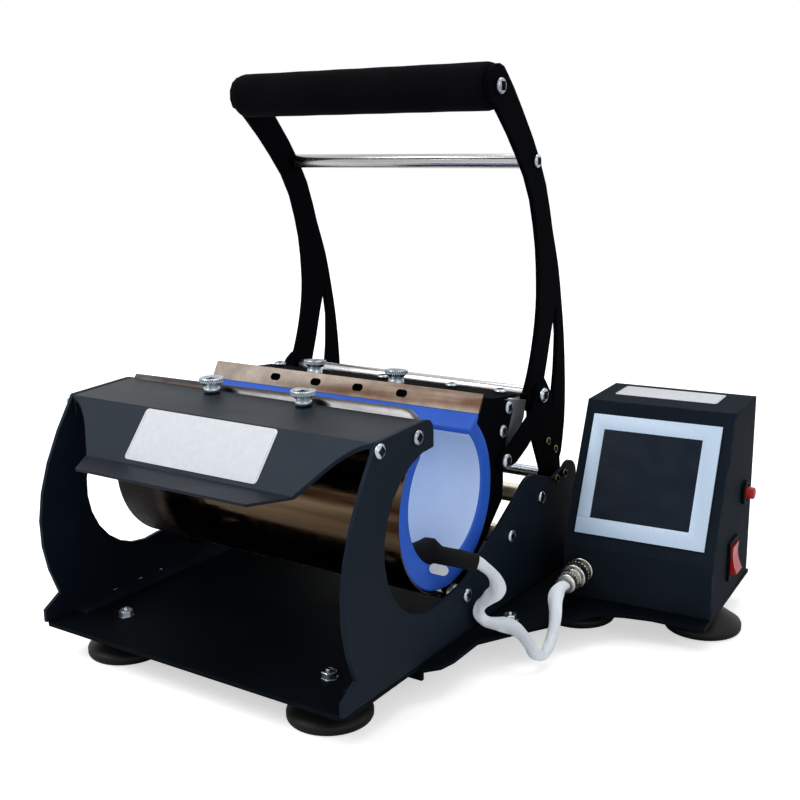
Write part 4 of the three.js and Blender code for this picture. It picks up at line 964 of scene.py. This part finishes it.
# Control box: folded sheet in the same black coat, with a pale printed film round a dark
# touch screen. The film has a fine grain and scuffs, the screen shines like glass.
def film_material(name, colour, worn, grain, gloss, shine=0.5):
    """A printed film or plate: faint mottling, hairline scuffs and dust in the shine."""
    material, tree, shader = new_material(name, Specular_IOR_Level=shine)
    lay = add_node(tree, "TexCoord")["Object"]
    mottle = noise_map(tree, lay, grain, 4.0)
    hairlines = add_node(tree, "Mapping", {"Vector": lay, "Scale": (900, 40, 240)})[0]
    scuffs = noise_map(tree, hairlines, 1.0, 3.0, Roughness=0.7)
    wear = calc(tree, "MAXIMUM", carry_over(tree, scuffs, 0.58, 0.74, 0, 0.5),
                carry_over(tree, mottle, 0.3, 0.7, 0, 0.35))
    lay_look(tree, shader, {
        "Color": mixed(tree, wear, colour, worn), "Height": mottle,
        "Roughness": carry_over(tree, wear, 0, 0.5, gloss, min(1.0, gloss + 0.22)),
    }, 0.4, 0.00002)
    return material


panel_rise, panel_back = 106.98, 48.7
panel_lean = math.atan2(panel_rise, panel_back)
up_slope = Vector((0, 0, math.sin(panel_lean))) - box_front * math.cos(panel_lean)
off_slope = box_front * math.sin(panel_lean) + Vector((0, 0, math.cos(panel_lean)))
panel = pressed_plate("panel_film_frame", (
    (7.5, 9.5), (110, 9.5), (110, 106), (7.5, 106), (7.5, 22.5), (18, 22.5), (18, 94),
    (96.5, 94), (96.5, 22.5), (7.5, 22.49)),
    Matrix((box_side, up_slope, off_slope)).transposed(),
    in_box(0, 0, 43) + off_slope * 0.0003, 1.6)
finish(film_material("pale_printed_film", srgb(184, 204, 226), srgb(168, 188, 212), 500, 0.34),
       panel)
cover("touch_panel_frame", panel, "press_frame")
finish(film_material("dark_touch_screen", srgb(12, 22, 34), srgb(19, 30, 42), 60, 0.16, 0.1),
       "touch_screen")
# The control box's dust colour is raised, so its lighter corners are a painted highlight along the
# folds as well as dust
finish(paint("control_box_powder_coat", srgb(19, 26, 33), srgb(78, 88, 102), 0.72, 0.03, 0.0022),
       "control_box_cover", "control_box_body")

# Rocker switch: a black moulded bezel clipped into the box's right side, and a red moulded
# rocker with a hollow face that tilts in it
box_wide = 118.6
rocker_deep, rocker_half_high, rocker_hollow, rocker_heel = 0.0119, 0.011, 0.0018, 0.4
plastic = soft("black_moulded_plastic", srgb(6, 6, 8), srgb(12, 12, 14), 0.62, 2200, 0.00002, 0.06)
red_plastic = soft("red_switch_plastic", srgb(176, 18, 22), srgb(140, 12, 18), 0.26, 900, 0.00001)
rocker = start_with(bpy.ops.mesh.primitive_cube_add, "rocker_red_moulded",
                    (rocker_deep, 0.0176, rocker_half_high * 2), size=1, location=(0, 0, 0))
choose(rocker, "EDGE", everything)
bpy.ops.mesh.subdivide(number_cuts=7)
end_edit()
for vertex in rocker.data.vertices:
    depth = vertex.co.x / rocker_deep + 0.5
    if depth < rocker_heel:
        vertex.co.z *= 0.5 + 0.5 * depth / rocker_heel
    if depth > 0.99:
        vertex.co.x -= rocker_hollow * (1 - (vertex.co.z / rocker_half_high) ** 2)
rocker.data.transform(Matrix.Translation((rocker_deep / 2 - 0.0065, 0, 0)))
soften(rocker, 0.0004, angle=40)
box_turned = Matrix((box_side, -box_front, (0, 0, 1))).transposed()
seat(rocker, box_turned @ Matrix.Rotation(math.radians(-9), 3, "Y"), in_box(box_wide, 56, 32))
finish(red_plastic, rocker)
cover("power_rocker", rocker, "rocker")
finish(plastic, "rocker_bezel", "mains_inlet")

# Breaker: a black moulded neck with a knurled ring that holds it in the box's side, and a red
# button with a rounded top that goes in and springs back
breaker_spot = in_box(box_wide, 88, 77)
ring = turned_up("breaker_ring_smooth", [
    (0.0068, -0.0118), (0.0068, 0.0001), (0.0098, 0.0001), (0.01, 0.0004), (0.01, 0.0024),
    (0.0094, 0.003), (0.0076, 0.003), (0.0074, 0.0024),
], 48)
knurl(ring, 24, 0.0005, 0.0023, 0.0098, 0.0004)
soften(ring, 0.0002)
seat(ring, facing(box_side), breaker_spot)
finish(plastic, ring)
cover("breaker_body", ring, "press_frame")
button = turned_up("breaker_button_smooth", [
    (0.0046, -0.0058), (0.0048, -0.0055), (0.0048, 0.0076), (0.0046, 0.0085), (0.0038, 0.0091),
    (0.0024, 0.0094),
])
soften(button, 0.00015)
seat(button, facing(box_side), breaker_spot)
finish(red_plastic, button)
cover("breaker_button", button, "reset_button")

# Bare plates: the hood and the box top each carry a plain white plate under clear film, and
# the mat's end a small pale oval tag. They are bare, with a thin line round their edge.
def bare_plate(name, width, height, corner, turn, spot, look, line):
    """A thin plate with round corners, and a printed line a little inside its edge."""
    margin, line_width = 0.0011, 0.0005
    sheet = start_with(bpy.ops.mesh.primitive_plane_add, name, (width, height, 1), size=1,
                       location=(0, 0, 0))
    choose(sheet, "VERT", everything)
    bpy.ops.mesh.bevel(offset=corner, segments=8, affect="VERTICES")
    bpy.ops.mesh.select_all(action="SELECT")
    bpy.ops.mesh.inset(thickness=margin, depth=0)
    bpy.ops.mesh.inset(thickness=line_width, depth=0)
    end_edit()
    apply_modifier(sheet, "SOLIDIFY", thickness=0.0003, offset=1)
    for face in sheet.data.polygons:
        inside = max(abs(face.center.x) / (width / 2 - margin),
                     abs(face.center.y) / (height / 2 - margin)) < 1
        is_line = face.normal.z > 0.9 and 0.00001 < face.area < 0.0002 * max(width, height)
        face.material_index = int(inside and is_line)
    finish(look, sheet, marked=line)
    seat(sheet, turn, spot)
    carry(sheet, "press_frame")


white_film = film_material("white_label_film", srgb(198, 202, 208), srgb(180, 186, 194), 260, 0.4)
grey_line = film_material("grey_printed_line", srgb(150, 156, 166), srgb(168, 172, 180), 300, 0.35)
hood_low, hood_high = place(2.55, 13.1, 137.6), place(2.55, 41, 172)
up_hood = (hood_high - hood_low).normalized()
off_hood = Vector((1, 0, 0)).cross(up_hood)
bare_plate("hood_plate", 0.1206, 0.0400, 0.003,
           Matrix((Vector((1, 0, 0)), up_hood, off_hood)).transposed(),
           hood_high - up_hood * 0.0218 + off_hood * 0.0008, white_film, grey_line)
bare_plate("box_top_plate", 0.0833, 0.0338, 0.0025, box_turned, in_box(55.05, 91.2, 150.1),
           white_film, grey_line)
tag_along = Vector((0.835, 0.5, -0.22)).normalized()
tag_out = (front_right - tag_along * front_right.dot(tag_along)).normalized()
bare_plate("mat_tag", 0.0136, 0.0072, 0.0035,
           Matrix((tag_along, tag_out.cross(tag_along), tag_out)).transposed(),
           place(137.5, 118.2, 62.3), white_film, white_film)
